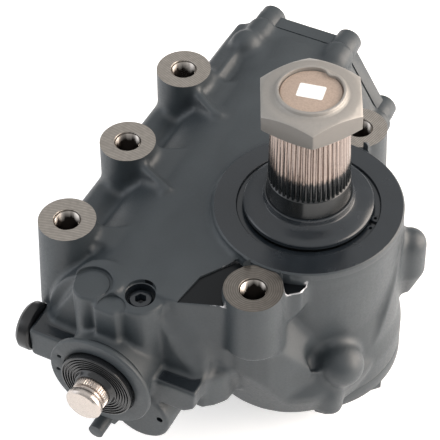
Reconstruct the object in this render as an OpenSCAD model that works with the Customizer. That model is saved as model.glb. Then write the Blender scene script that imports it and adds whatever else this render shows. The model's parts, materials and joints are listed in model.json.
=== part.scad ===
// Hydraulic recirculating-ball steering gearbox for a heavy vehicle.
// Origin: centre of the four-corner mounting pattern, in the plane of the boss faces.
// +Z points out along the drop arm shaft, +Y along the piston axis to the end cover.

/* [Mounting] */
// Distance from the outer row of bosses to the drop arm axis
mount_row = 152; // [148:1:156]
// Distance between the end bosses of a row
mount_span = 182; // [178:1:188]
// Radius of a mounting boss face
boss_r = 21.5; // [20:0.5:23]
// Diameter of the tapped holes, for an M20 x 1.5 thread
thread_d = 18.5; // [16:0.5:20]
// Depth of the tapped holes
thread_depth = 38; // [30:1:42]
// Depth of the chamfer at the mouth of a tapped hole
thread_chamfer = 0.4; // [0.3:0.1:0.5]

/* [Gear case] */
// Distance between the drop arm axis and the piston axis
centre_distance = 90; // [89:0.25:91]
// Depth of the piston axis below the boss faces
axis_drop = 75; // [74:0.5:77]
// Radius of the piston bore
bore_r = 55; // [54:0.5:56]
// Wall around the piston bore
barrel_wall = 12; // [10:0.5:13]
// Radius of the hub around the drop arm shaft
hub_r = 70.5; // [69:0.5:72]
// Height of the hub face above the boss faces
hub_rise = 2; // [1:0.5:3]
// Distance from the drop arm axis to the end cover joint
end_plane = 179; // [177:1:184]
// Distance from the drop arm axis to the inner end of the piston bore
inner_wall = 109; // [108:0.5:110]
// Depth of the side cover joint below the boss faces
cover_plane = 138; // [137:0.5:141]

/* [Gear mesh] */
// Pitch radius of the sector gear
sector_pitch_r = 46; // [45:0.5:47]
// Teeth of the sector's full circle, of which three are cut
sector_teeth = 11; // [11:1:12]
// Pressure angle of the mesh
pressure_angle = 25; // [25:0.5:27]
// Play between the sector teeth and the rack
backlash = 0.35; // [0.2:0.05:0.6]
// Face width of the sector gear
gear_width = 64; // [58:1:66]

/* [Drop arm shaft] */
// Radius of the upper journal
journal_r = 31; // [30:0.25:31.5]
// Radius of the lower journal
lower_journal_r = 25; // [23:0.5:27]
// Radius of the serrations at their lower end
serration_r = 30; // [29:0.25:30]
// Radius lost to the taper of the serrations
serration_taper = 2; // [1:0.25:2.5]
// Number of serrations
serration_count = 48; // [36:1:56]
// Height where the serrations start
serration_start = 35; // [33:1:40]
// Height where the nut sits on the serrations
nut_seat = 93.7; // [88:0.5:100]
// Radius of the shaft thread, M45 x 1.5
thread_r = 22.5; // [20:0.5:24]
// Width across the flats of the nut
nut_flats = 70; // [65:1:75]
// Height of the nut below its locking collar
nut_height = 18; // [15:1:22]

/* [Piston and worm] */
// Length of the piston from the drop arm axis to the valve end
piston_front = 70; // [68:1:71]
// Length of the piston from the drop arm axis to the end cover
piston_back = 132; // [126:1:133]
// Radius of the worm over its lands
worm_r = 17; // [16.5:0.25:17.25]
// Travel of the piston for one turn of the worm
worm_lead = 13.5; // [13.25:0.25:14]
// Radius of the recirculating balls
ball_r = 4; // [3.75:0.05:4]
// Number of balls in the circuit
ball_count = 26; // [16:1:26]

/* [Valve and input] */
// Radius of the valve bore
valve_bore_r = 27; // [26:0.25:28]
// Radius of the input cover ring
input_cover_r = 41.2; // [38:0.2:42]
// Distance from the drop arm axis to the front of the input cover
input_face = 162.6; // [161:0.5:165]
// Distance from the drop arm axis to the end of the input shaft
input_tip = 187; // [184:1:194]
// Radius of the input shaft end
input_r = 14.2; // [13.75:0.05:15]
// Number of serrations on the input shaft
input_serrations = 40; // [30:1:48]
// Radius of the valve rotor
rotor_r = 16; // [15:0.25:16.5]

/* [Plugs and port] */
// Radius of the core plug
plug_r = 13.2; // [12.6:0.1:13.6]
// Radius of the socket plug
socket_r = 8.5; // [8:0.1:9]
// Radius of the counterbore over the socket plug
socket_seat_r = 11; // [10.5:0.1:11.5]
// Radius of the pressure port
port_r = 9; // [8:0.2:10]
// Radius of the transport cap
cap_r = 18.6; // [17.6:0.2:19]
// Radius of the limiter screw
limiter_r = 6; // [5:0.2:6.4]

/* [Covers] */
// Distance from the piston axis to the flats of the end flange
end_flat = 65.2; // [64:0.2:67]
// Radius of the end cover screw circle
end_screw_circle = 68; // [67:0.5:70]
// Thickness of the end cover plate
end_cover_t = 12; // [10:0.5:14]
// Radius of the side cover
side_cover_r = 74; // [73:0.5:76]
// Thickness of the side cover plate
side_cover_t = 13; // [11:0.5:15]
// Number of side cover bolts
side_bolts = 7; // [6:1:7]

/* [Fits] */
// Radial play of journals, piston and valve in their bores
running_fit = 0.05; // [0.02:0.01:0.09]
// Play around seals and lips
seal_gap = 0.35; // [0.3:0.05:0.6]

/* [Hidden] */
$fn = 48;

// Axes
sector_x = mount_row / 2;
piston_x = sector_x - centre_distance;
piston_z = -axis_drop;
barrel_r = bore_r + barrel_wall;
boss_places = [[-1, 1], [-1, 0], [-1, -1], [1, -1], [1, 1]];
boss_x = mount_row / 2;
boss_y = mount_span / 2;

// Gear mesh
module_mm = 2 * sector_pitch_r / sector_teeth;
tooth_pitch = PI * module_mm;
addendum = 0.9 * module_mm;
dedendum = 1.1 * module_mm;
sector_tip_r = sector_pitch_r + addendum;
sector_root_r = sector_pitch_r - dedendum;
sector_base_r = sector_pitch_r * cos(pressure_angle);
rack_line = centre_distance - sector_pitch_r;
rack_tip = rack_line + addendum;
rack_root = rack_line - dedendum;
gear_top = piston_z + gear_width / 2;
gear_bottom = piston_z - gear_width / 2;
chamber_r = sector_tip_r + 3.5;
chamber_top = gear_top + 1.5;

// Drop arm shaft, bearings and seal
bearing_wall = 8;
upper_bearing_r = journal_r + bearing_wall;
lower_bearing_r = lower_journal_r + bearing_wall;
seal_floor = -14;
seal_bore_r = journal_r + 21.8;
seal_top = hub_rise - 3.2;
snap_ring_t = 1.8;
snap_groove = 1;
shield_r = seal_bore_r - 4.8;
shaft_bottom = -cover_plane - 3;
shaft_top = nut_seat + nut_height + 1.3;
collar_h = 3.6;
adjuster_head_r = 11;

// Piston, nut and worm
piston_r = bore_r - running_fit;
ball_circle = worm_r + 1.2;
groove_r = ball_r + 0.25;
nut_bore_r = worm_r + 1.5;
ball_nut_r = ball_circle + ball_r + 3.8;
ball_nut_back = -18;
ball_nut_front = -62;
piston_hole_end = 82;
ring_y = 112;
ring_t = 6;
worm_tip = 41;
worm_collar_r = worm_r + 0.3;
race_steps = 20;

// Valve and input
neck_r = valve_bore_r + 7;
neck_end = -(input_face - 9.6);
bearing_seat = -(inner_wall + 0.5);
bearing_front = bearing_seat - 12;
sleeve_back = bearing_front - 2;
sleeve_front = neck_end + 5.5;
spigot_end = neck_end + 4.5;
stem_r = input_r - 1.2;
serr_r = input_r - 0.8;
bar_r = 4;
pilot_r = 9;

// Covers
end_lobe_r = 11;
end_screw_r = 6;
end_lobe_t = end_cover_t + 6;
end_corner = [[-30, -50], [-40, -end_flat], [-56.5, -end_flat + 7.4], [-end_flat - 7, -30],
    [-end_flat - 5.6, -10], [-50, 0]];
side_bolt_circle = chamber_r + 7.4;
side_bolt_r = 5;
side_lobe_r = side_bolt_r + 3.6;
side_bolt_step = 40;
side_bolt_start = -132;

// Pads on the valve end
pad_z = -11;
pad_x = piston_x - 19.5;
pad_y = -130;
socket_x = piston_x + 16.2;
socket_y = -123;
port_y = -128;
port_z = piston_z - 14;
port_x = piston_x - 72;
limiter_x = piston_x - 4;
limiter_z = piston_z - 56;
limiter_seat = -142;
limiter_nut_r = limiter_r * 1.82;

// Flat around the front boss on the drop arm side
spot_z = -8;
front_wall = [[-24, -boss_y - 13], [-8, -boss_y - 15.5], [6, -boss_y - 13.5], [16, -boss_y - 9],
    [26, -90], [40, -74], [47, -58], [30, -40], [-26, -50]];
shelf = [[-46, -120], [-15, -boss_y - 17.5], [4, -boss_y - 8], [17, -boss_y + 9], [29, -72.5],
    [29.5, -63], [10, -58], [-26, -68], [-42, -92]];

// Places a child with its own +Z along the piston axis, starting at a given y
module on_piston(y = 0) {
    translate([piston_x, y, piston_z])
        rotate([-90, 0, 0])
            children();
}

// Places a child on the drop arm axis
module on_sector(z = 0) {
    translate([sector_x, 0, z])
        children();
}

// Ring between two radii
module ring(outer, inner, h) {
    difference() {
        cylinder(r = outer, h = h);
        translate([0, 0, -1])
            cylinder(r = inner, h = h + 2);
    }
}

// Ring turned from a closed outline of [radius, height] points
module turned(points) {
    rotate_extrude()
        polygon(points);
}

// Cylinder along Y with its start on a given point
module y_cylinder(x, y0, y1, z, r) {
    translate([x, y0, z])
        rotate([-90, 0, 0])
            cylinder(r = r, h = y1 - y0);
}

// Fluted outline for serrations
module fluted(r, count, depth) {
    step = 360 / count;
    polygon([for (i = [0 : count - 1], k = [0 : 3])
        let (a = step * (i + [0.02, 0.38, 0.6, 0.8][k]))
        let (q = k < 2 ? r : r - depth)
        [q * cos(a), q * sin(a)]]);
}

// Outline of the end flange: a hexagon with a lobe at each screw and one filled corner
module end_outline() {
    circle(r = end_flat / cos(30), $fn = 6);
    for (k = [0 : 5])
        rotate(60 * k)
            translate([end_screw_circle, 0])
                circle(r = end_lobe_r);
}

// Places a child at each end cover screw
module end_screw_places(y) {
    on_piston(y)
        for (k = [0 : 5])
            rotate(60 * k)
                translate([end_screw_circle, 0, 0])
                    children();
}

// Places a child at each side cover bolt
module side_bolt_places(z) {
    on_sector(z)
        for (k = [0 : side_bolts - 1])
            rotate(side_bolt_start + side_bolt_step * k)
                translate([side_bolt_circle, 0, 0])
                    children();
}

// Solid rod whose radius follows a helical profile of [offset, radius] pairs, one lead long
module helical_rod(start, turns, profile) {
    n = race_steps;
    p = len(profile);
    rows = p * turns;
    points = [for (j = [0 : rows + p], i = [0 : n - 1])
        let (a = 360 * i / n)
        let (q = profile[j % p])
        let (z = start + worm_lead * (floor(j / p) + i / n) + q[0])
        [q[1] * cos(a), q[1] * sin(a), z]];
    last = len(points);
    sides = [for (j = [0 : rows - 1], i = [0 : n - 1])
        let (a = j * n + i)
        let (b = i < n - 1 ? a + 1 : (j + p) * n)
        each [[a, a + n, b], [b, a + n, b + n]]];
    low = [for (i = [0 : n - 1]) i];
    low_seam = [for (j = [p : -1 : 1]) j * n];
    loop_low = concat(low, low_seam);
    high = [for (i = [0 : n - 1]) rows * n + i];
    high_seam = [for (j = [rows + p : -1 : rows + 1]) j * n];
    loop_high = concat(high, high_seam);
    m = len(loop_low);
    cap_low = [for (k = [0 : m - 1]) [last, loop_low[k], loop_low[(k + 1) % m]]];
    cap_high = [for (k = [0 : m - 1]) [last + 1, loop_high[(k + 1) % m], loop_high[k]]];
    tip_low = [0, 0, start + profile[0][0]];
    tip_high = [0, 0, start + worm_lead * (turns + 1) + profile[0][0]];
    polyhedron(concat(points, [tip_low, tip_high]), concat(sides, cap_low, cap_high));
}

// Ball groove of the worm, cut into its lands
function groove_depth(u) = sqrt(groove_r * groove_r - u * u);
land_half = sqrt(groove_r * groove_r - pow(ball_circle - worm_r, 2));
groove_marks = [-0.78, -0.42, 0, 0.42, 0.78];
worm_profile = concat([[0, worm_r], [worm_lead / 2 - land_half, worm_r]],
    [for (s = groove_marks) [worm_lead / 2 + s * land_half,
        ball_circle - groove_depth(s * land_half)]],
    [[worm_lead / 2 + land_half, worm_r]]);

// Ball groove of the nut, opened by the facet allowance so the balls stay clear
facet = 1 / cos(180 / race_steps);
race_half = groove_r * 0.99;
nut_profile = concat([[0, nut_bore_r * facet], [worm_lead / 2 - race_half, nut_bore_r * facet]],
    [for (s = groove_marks) [worm_lead / 2 + s * race_half,
        (ball_circle + groove_depth(s * race_half)) * facet]],
    [[worm_lead / 2 + race_half, nut_bore_r * facet]]);

// Boss column with a slight draft and a collar where it joins the casting
module boss_column(depth, collar, draft) {
    translate([0, 0, -depth])
        cylinder(r1 = boss_r + draft, r2 = boss_r, h = depth);
    if (collar > 0)
        translate([0, 0, -depth])
            cylinder(r1 = boss_r + 5, r2 = boss_r + 2.6, h = depth - collar);
}

// Fan-shaped web from a boss column to the crown of the barrel
module fan(y0, y1, y2, y3) {
    translate([0, 0, piston_z])
        linear_extrude(height = axis_drop - 12)
            polygon([[-boss_x + 14, y0], [piston_x, y2], [piston_x, y3], [-boss_x + 14, y1]]);
}

// Round rib from a boss column across its web
module web_rib(y) {
    translate([-boss_x + 10, y + 1, -25])
        rotate([0, 72, -37.8]) {
            cylinder(r = 4.6, h = 48);
            translate([0, 0, 48])
                sphere(r = 4.6);
        }
}

// Dome-ended lug along Y behind the end flange
module end_lug(length) {
    translate([0, 0, -length])
        cylinder(r = end_lobe_r + 1.5, h = length);
    translate([0, 0, -length])
        sphere(r = end_lobe_r + 1.5);
}

// Raw casting before machining
module casting() {
    // Gear case, swept between the hub and the barrel
    hull() {
        on_sector(-cover_plane + 6)
            cylinder(r = hub_r - 4, h = cover_plane - 10);
        on_piston(-78)
            cylinder(r = barrel_r - 0.6, h = 175);
    }
    // Barrel, hub and end flange
    on_piston(-inner_wall - 12)
        cylinder(r = barrel_r, h = inner_wall + 12 + end_plane - 10);
    on_sector(-74)
        cylinder(r1 = hub_r - 3.6, r2 = hub_r, h = 70);
    on_sector(-4.5)
        cylinder(r = hub_r, h = 4.5 + hub_rise);
    on_piston(end_plane - 18)
        linear_extrude(height = 18)
            end_outline();
    hull() {
        on_piston(end_plane - 58)
            cylinder(r = barrel_r - 1, h = 1);
        on_piston(end_plane - 18)
            cylinder(r = end_flat / cos(30) - 0.5, h = 1, $fn = 6);
    }
    end_screw_places(end_plane)
        end_lug(12);
    on_piston(end_plane)
        translate([end_screw_circle + 1.6, 0, 0])
            end_lug(72);
    // Dome on the corner behind the end flange
    translate([piston_x - 37.6, end_plane - 26.4, -15])
        sphere(r = 13.5);
    // Boss columns
    for (p = boss_places)
        translate([p[0] * boss_x, p[1] * boss_y, 0])
            if (p[0] < 0 && p[1] >= 0)
                boss_column(axis_drop - 8, 42, 1.4);
            else if (p[0] < 0)
                boss_column(axis_drop + 12, 0, 5);
            else
                boss_column(54, 0, 1.4);
    // Rail that joins the outer bosses and runs on to the end flange
    y_cylinder(-boss_x - 6.5, -boss_y - 4, boss_y + 4, piston_z + 25, 18);
    on_piston(boss_y - 1)
        linear_extrude(height = end_plane - boss_y)
            polygon(end_corner);
    // Webs from the bosses to the barrel crown
    fan(boss_y - 9, boss_y + 8, boss_y - 30, boss_y + 26);
    fan(-10, 14, -29, 36);
    fan(-boss_y + 2, -boss_y + 14, -boss_y - 2, -boss_y + 34);
    web_rib(boss_y);
    web_rib(0);
    valve_end();
    valve_pads();
    ears();
    front_shelf();
    skirt();
    side_lug();
}

// Valve end, lofted from the barrel to the front face, with its neck
module valve_end() {
    hull() {
        on_piston(-98)
            cylinder(r = barrel_r - 3, h = 2);
        for (s = [-1, 1]) {
            y_cylinder(piston_x + 24 * s, -129, -120, piston_z + 50, 10);
            y_cylinder(piston_x + 51 * s, -127, -120, piston_z - 1, 10);
            y_cylinder(piston_x + 44 * s, -127, -120, piston_z - 34, 10);
        }
    }
    y_cylinder(piston_x, neck_end, -110, piston_z, neck_r);
}

// Columns and block on top of the valve end
module valve_pads() {
    translate([pad_x, pad_y, piston_z])
        cylinder(r = 14.4, h = pad_z - piston_z);
    translate([pad_x + 3, pad_y + 6, piston_z])
        cylinder(r = 18.6, h = pad_z - piston_z + 3.5);
    translate([socket_x, socket_y, piston_z])
        cylinder(r = 18.3, h = pad_z - piston_z);
    translate([piston_x - 9.5, pad_y - 17, piston_z])
        linear_extrude(height = pad_z - piston_z - 1.2)
            polygon([[0, 0], [17, 0], [19, 4], [19, 26], [0, 26]]);
    translate([piston_x - 24, -122, piston_z])
        cube([48, 22, pad_z - piston_z - 1]);
}

// Side ears, lower lobe and the port and limiter bosses of the valve end
module ears() {
    translate([piston_x, -143, piston_z])
        rotate([-90, 0, 0])
            linear_extrude(height = 20)
                polygon([[-68.5, 0], [68.5, 0], [66.5, 18], [58, 25], [-58, 25], [-66.5, 18]]);
    // Shoulders behind the ears
    translate([piston_x - 66, -126, piston_z - 37])
        cube([132, 30, 37]);
    for (s = [-1, 1])
        translate([piston_x, -117, piston_z]) {
            rotate([0, 90 * s, 0])
                cylinder(r = 9, h = 58);
            translate([58 * s, 0, 0])
                sphere(r = 9);
        }
    y_cylinder(piston_x + 20.5, -145, -118, piston_z - 47, 25);
    y_cylinder(limiter_x, limiter_seat, -104, limiter_z, limiter_nut_r + 2.4);
    translate([port_x, -143, port_z - 14])
        cube([34, 32, piston_z - port_z + 14]);
}

// Flat and walls around the front boss on the drop arm side
module front_shelf() {
    translate([sector_x, 0, piston_z])
        linear_extrude(height = axis_drop + spot_z + 1.5)
            polygon(shelf);
    // Shoulder between the barrel crown and the flat
    hull() {
        y_cylinder(piston_x + 2, -119, -44, spot_z - 20.5, 20);
        y_cylinder(sector_x - 62, -121, -70, spot_z - 12, 14);
        translate([sector_x, 0, spot_z - 24])
            linear_extrude(height = 25)
                polygon([[-50, -119], [-46, -120], [-42, -92], [-26, -68], [-44, -62]]);
    }
    // Wall below the boss
    translate([sector_x, 0, -81])
        linear_extrude(height = 27)
            polygon(front_wall);
}

// Skirt around the side cover joint, with the dome that stands on its bolt lug
module skirt() {
    on_sector(-cover_plane)
        cylinder(r = side_cover_r, h = 20);
    on_sector(-cover_plane + 20)
        cylinder(r1 = side_cover_r, r2 = hub_r - 5, h = 50);
    side_bolt_places(-cover_plane + 0.2)
        cylinder(r = side_lobe_r, h = 24);
    // Foot below the front boss, drawn in from the wall down to the cover joint
    intersection() {
        translate([sector_x - 2, -24, -cover_plane])
            cylinder(r1 = 65.5, r2 = 82, h = 58);
        translate([sector_x, 0, -cover_plane - 1])
            linear_extrude(height = 60)
                polygon(front_wall);
    }
    // Bolt lug on the rim and the knob above it
    translate([sector_x + 49.5, -63, -cover_plane]) {
        cylinder(r = 10.5, h = 16);
        translate([0, 0, 16])
            sphere(r = 10.5);
    }
    translate([sector_x + 47.5, -50, -95]) {
        sphere(r = 17.5);
        translate([0, 0, -15])
            cylinder(r1 = 15.5, r2 = 16.9, h = 14);
        translate([1.5, -5, -31])
            cylinder(r1 = 9, r2 = 14.5, h = 17);
    }
    // Flush wall on the outer flank, ending in a slanting crease
    intersection() {
        on_sector(-cover_plane + 19)
            cylinder(r1 = hub_r + 0.8, r2 = hub_r + 0.3, h = 111);
        translate([sector_x, -3, -62])
            rotate([-28.8, 0, 0])
                translate([0, 0, -150])
                    cube([100, 100, 300]);
    }
}

// Lug on the flank of the hub, tapering down into the wall
module side_lug() {
    on_sector()
        rotate(27)
            translate([hub_r + 6.5, 0, 0]) {
                translate([0, 0, -70])
                    cylinder(r = 12.5, h = 27);
                translate([0, 0, -43])
                    sphere(r = 12.5);
                translate([0, 0, -98])
                    cylinder(r1 = 2, r2 = 12.5, h = 28);
            }
}

// Everything that is cut into the casting
module machining() {
    // Piston bore, valve bore and gear chamber
    on_piston(-inner_wall)
        cylinder(r = bore_r, h = inner_wall + end_plane + 1);
    on_piston(neck_end - 1)
        cylinder(r = valve_bore_r, h = inner_wall);
    on_sector(-cover_plane - 1)
        cylinder(r = chamber_r, h = cover_plane + chamber_top + 1);
    // Seat of the side cover
    on_sector(-cover_plane - 40)
        cylinder(r = side_cover_r + 1.2, h = 40);
    // Upper bearing and seal bores with the snap ring groove
    on_sector(chamber_top - 1)
        cylinder(r = upper_bearing_r, h = seal_floor - chamber_top + 2);
    on_sector(seal_floor)
        cylinder(r = seal_bore_r, h = hub_rise - seal_floor + 1);
    on_sector(seal_top)
        cylinder(r = seal_bore_r + snap_groove, h = snap_ring_t + 0.1);
    // Faces and tapped holes of the mounting bosses
    for (p = boss_places)
        translate([p[0] * boss_x, p[1] * boss_y, -thread_depth]) {
            cylinder(d = thread_d, h = thread_depth + 5);
            translate([0, 0, thread_depth - thread_chamfer])
                cylinder(r1 = thread_d / 2, r2 = thread_d / 2 + 2, h = 2);
        }
    // Spot face around the front boss on the drop arm side
    on_sector(spot_z)
        linear_extrude(height = 20)
            difference() {
                polygon(shelf);
                translate([0, -boss_y])
                    circle(r = boss_r + 0.8);
                circle(r = hub_r + 0.6);
            }
    // Tapped holes of the covers
    end_screw_places(end_plane - 26)
        cylinder(r = end_screw_r, h = 30);
    side_bolt_places(-cover_plane - 1)
        cylinder(r = side_bolt_r, h = 25);
    // Seats of the plugs on the valve end
    translate([socket_x, socket_y, pad_z - 8])
        cylinder(r = socket_seat_r, h = 9);
    translate([socket_x, socket_y, pad_z - 21])
        cylinder(r = socket_r, h = 20);
    translate([pad_x, pad_y, pad_z])
        cylinder(r = 15.2, h = 20);
    translate([pad_x, pad_y, pad_z - 3])
        cylinder(r = plug_r, h = 4);
    translate([piston_x + 2.5, pad_y - 11.5, pad_z - 1.6])
        cylinder(r = 10.5, h = 20);
    translate([port_x - 1, port_y, port_z])
        rotate([0, 90, 0])
            cylinder(r = port_r, h = 26);
    translate([port_x - 40, port_y, port_z])
        rotate([0, 90, 0])
            cylinder(r = cap_r + 0.6, h = 40);
    y_cylinder(limiter_x, limiter_seat - 1, limiter_seat + 24, limiter_z, limiter_r);
    y_cylinder(limiter_x, limiter_seat - 20, limiter_seat, limiter_z, limiter_nut_r + 1.2);
}

// Cast iron housing with its mounting bosses, barrel, hub and valve end
module housing() {
    color("#3a3f43")
        difference() {
            casting();
            machining();
        }
}

// Hexagonal cover that closes the piston bore
module end_cover() {
    color("#3d4246")
        difference() {
            union() {
                on_piston(end_plane)
                    linear_extrude(height = end_cover_t)
                        end_outline();
                end_screw_places(end_plane)
                    cylinder(r = end_lobe_r - 0.4, h = end_lobe_t);
                on_piston(end_plane + end_cover_t - 0.5)
                    cylinder(r1 = bore_r - 7, r2 = bore_r - 14, h = 6.5);
                on_piston(end_plane - 7)
                    cylinder(r = piston_r, h = 8);
            }
            on_piston(end_plane - 8)
                cylinder(r = bore_r - 12, h = 9);
            on_piston(end_plane - 5)
                ring(bore_r + 1, bore_r - 3, 3);
            end_screw_places(end_plane - 1)
                cylinder(r = end_screw_r + 0.4, h = end_lobe_t + 2);
            end_screw_places(end_plane + end_lobe_t - 11)
                cylinder(r = end_screw_r + 3.3, h = 12);
        }
}

// Socket-head screws of the end cover, sunk in its lobes
module end_cover_screws() {
    color("#55585b")
        end_screw_places(end_plane)
            difference() {
                union() {
                    translate([0, 0, -24])
                        cylinder(r = end_screw_r, h = end_lobe_t + 14);
                    translate([0, 0, end_lobe_t - 11])
                        cylinder(r = end_screw_r + 3, h = 10.5);
                }
                translate([0, 0, end_lobe_t - 7])
                    cylinder(r = 5, h = 8, $fn = 6);
            }
}

// O-ring of the end cover
module end_cover_seal() {
    color("#1b1b1c")
        on_piston(end_plane - 5)
            ring(piston_r, bore_r - 3, 3);
}

// Side cover that carries the lower bearing of the drop arm shaft
module side_cover() {
    color("#3d4246")
        difference() {
            union() {
                on_sector(-cover_plane - side_cover_t)
                    cylinder(r = side_cover_r, h = side_cover_t);
                side_bolt_places(-cover_plane - side_cover_t + 0.2)
                    cylinder(r = side_lobe_r, h = side_cover_t - 0.4);
                on_sector(-cover_plane)
                    cylinder(r = chamber_r - running_fit, h = 8);
                on_sector(gear_bottom - 31)
                    cylinder(r = lower_bearing_r + 7, h = 28);
                on_sector(-cover_plane - side_cover_t - 9)
                    cylinder(r1 = lower_journal_r + 5, r2 = lower_bearing_r + 8, h = 10);
            }
            on_sector(shaft_bottom - 4)
                cylinder(r = lower_bearing_r, h = 60);
            on_sector(-cover_plane - side_cover_t - 12)
                cylinder(r = 6.2, h = 40);
            on_sector(-cover_plane + 3)
                ring(chamber_r + 1, chamber_r - 3.2, 3);
            side_bolt_places(-cover_plane - side_cover_t - 1)
                cylinder(r = side_bolt_r + 0.5, h = side_cover_t + 2);
        }
}

// Hexagon bolts of the side cover
module side_cover_bolts() {
    color("#55585b")
        side_bolt_places(-cover_plane) {
            translate([0, 0, -side_cover_t])
                cylinder(r = side_bolt_r, h = side_cover_t + 23);
            translate([0, 0, -side_cover_t - 7])
                cylinder(r = side_bolt_r * 1.85, h = 7, $fn = 6);
        }
}

// O-ring of the side cover
module side_cover_seal() {
    color("#1b1b1c")
        on_sector(-cover_plane + 3)
            ring(chamber_r - running_fit, chamber_r - 3.2, 3);
}

// Screw that sets the play of the sector gear, its head in the end of the shaft
module adjusting_screw() {
    color("#6d6f70")
        on_sector()
            difference() {
                union() {
                    translate([0, 0, -cover_plane - side_cover_t - 24])
                        cylinder(r = 6, h = side_cover_t + 28);
                    translate([0, 0, shaft_bottom + 6])
                        cylinder(r = adjuster_head_r, h = 7);
                }
                translate([0, 0, -cover_plane - side_cover_t - 25])
                    cylinder(r = 3.5, h = 8, $fn = 6);
            }
}

// Lock nut of the adjusting screw
module adjusting_nut() {
    color("#6d6f70")
        on_sector(-cover_plane - side_cover_t - 19)
            difference() {
                cylinder(r = 11, h = 10, $fn = 6);
                translate([0, 0, -1])
                    cylinder(r = 6, h = 12);
            }
}

// Lip seal of the drop arm shaft
module sector_seal() {
    lip = journal_r + seal_gap;
    color("#26282a")
        on_sector()
            turned([[seal_bore_r, seal_floor], [seal_bore_r, seal_top], [seal_bore_r - 7, seal_top],
                [seal_bore_r - 8, seal_top - 2.5], [lip + 8, seal_top - 2.5], [lip + 4, seal_top - 6],
                [lip, seal_top - 4.5], [lip, seal_top - 7.5], [lip + 5, seal_floor]]);
}

// Open ring that holds the seal in the hub
module seal_snap_ring() {
    color("#2b2d2f")
        on_sector(seal_top)
            difference() {
                ring(seal_bore_r + snap_groove - 0.4, seal_bore_r - 5.5, snap_ring_t);
                rotate(4)
                    translate([seal_bore_r - 8, -2.2, -1])
                        cube([12, 4.4, snap_ring_t + 2]);
                for (s = [-1, 1])
                    rotate(4 + 6 * s)
                        translate([seal_bore_r - 2.6, 0, -1])
                            cylinder(r = 1.2, h = snap_ring_t + 2);
            }
}

// Bearing shell with a lubrication groove
module bearing(inner, outer, h) {
    turned([[inner, 0], [outer - 1, 0], [outer, 1], [outer, h - 1], [outer - 1, h], [inner, h],
        [inner, h * 0.6], [inner + 1.5, h * 0.55], [inner + 1.5, h * 0.45], [inner, h * 0.4]]);
}

// Bearing of the drop arm shaft in the housing
module upper_bearing() {
    color("#a7a39a")
        on_sector(chamber_top + 1)
            bearing(journal_r + running_fit, upper_bearing_r, seal_floor - chamber_top - 1);
}

// Bearing of the drop arm shaft in the side cover
module lower_bearing() {
    color("#a7a39a")
        on_sector(shaft_bottom - 2)
            bearing(lower_journal_r + running_fit, lower_bearing_r, 26);
}

// Ring that closes the valve bore around the input shaft
module input_cover() {
    color("#43474b")
        difference() {
            union() {
                on_piston(-input_face)
                    cylinder(r1 = input_cover_r - 0.8, r2 = input_cover_r, h = 1.2);
                on_piston(-input_face + 1.2)
                    cylinder(r = input_cover_r, h = 2.4);
                on_piston(-input_face + 3)
                    cylinder(r = neck_r - 0.5, h = input_face + neck_end - 3);
                on_piston(neck_end - 0.5)
                    cylinder(r = valve_bore_r - running_fit, h = spigot_end - neck_end + 0.5);
            }
            on_piston(-input_face - 1)
                cylinder(r = 30, h = 3.6);
            on_piston(-input_face + 2)
                cylinder(r = stem_r + 7, h = 7);
            on_piston(-input_face + 8)
                cylinder(r = stem_r + 5, h = 20);
            for (a = [160, 186])
                on_piston(-input_face - 1)
                    rotate(-a)
                        translate([34.5, 0, 0])
                            cylinder(r = 1.8, h = 4);
        }
}

// Lip seal of the input shaft
module input_seal() {
    lip = serr_r + seal_gap;
    outer = stem_r + 7;
    color("#1d1e1f")
        on_piston(-input_face + 3)
            turned([[outer, 0], [outer, 6], [lip + 3, 6], [lip + 3, 3], [lip, 3.5], [lip, 1], [lip + 3, 0]]);
}

// Bearing of the input shaft in the input cover
module input_bearing() {
    color("#a7a39a")
        on_piston(-input_face + 9)
            bearing(stem_r + running_fit, stem_r + 5, spigot_end + input_face - 9);
}

// Ball bearing that carries the worm in the housing
module worm_bearing() {
    inner = rotor_r + running_fit;
    track = (inner + valve_bore_r) / 2;
    color("#a7a39a")
        on_piston(bearing_front)
            difference() {
                union() {
                    difference() {
                        ring(valve_bore_r, inner, 12);
                        translate([0, 0, -1])
                            ring(track + 1.6, track - 1.6, 14);
                        translate([0, 0, 6])
                            rotate_extrude()
                                translate([track, 0])
                                    circle(r = 3);
                    }
                    for (k = [0 : 11])
                        rotate(30 * k)
                            translate([track, 0, 6])
                                sphere(r = 2.95);
                }
            }
}

// Core plug pressed into the pad on the valve end
module core_plug() {
    color("#3a3f43")
        translate([pad_x, pad_y, pad_z - 3])
            turned([[0, 0], [plug_r, 0], [plug_r, 2.9], [plug_r - 0.5, 3.4], [0, 3.4]]);
}

// Socket-head plug in its counterbore
module socket_plug() {
    color("#3a3d40")
        translate([socket_x, socket_y, pad_z - 20])
            difference() {
                turned([[0, 0], [socket_r, 0], [socket_r, 15], [socket_r - 0.8, 16], [0, 16]]);
                translate([0, 0, 9])
                    cylinder(r = 4.6, h = 8, $fn = 6);
            }
}

// Transport cap on the pressure port
module port_cap() {
    color("#161718")
        translate([port_x, port_y, port_z])
            rotate([0, -90, 0])
                turned([[0, -14], [port_r, -14], [port_r, 0], [cap_r - 1.6, 0], [cap_r, 1.6], [cap_r, 9],
                    [cap_r - 2.1, 11.6], [0, 12.4]]);
}

// Screw of the hydraulic steering limiter
module limiter_screw() {
    color("#3d4144")
        y_cylinder(limiter_x, limiter_seat - 26, limiter_seat + 22, limiter_z, limiter_r);
}

// Lock nut of the steering limiter
module limiter_nut() {
    color("#3d4144")
        translate([limiter_x, limiter_seat - 8, limiter_z])
            rotate([-90, 0, 0])
                difference() {
                    cylinder(r = limiter_nut_r, h = 8, $fn = 6);
                    translate([0, 0, -1])
                        cylinder(r = limiter_r, h = 10);
                }
}

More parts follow.
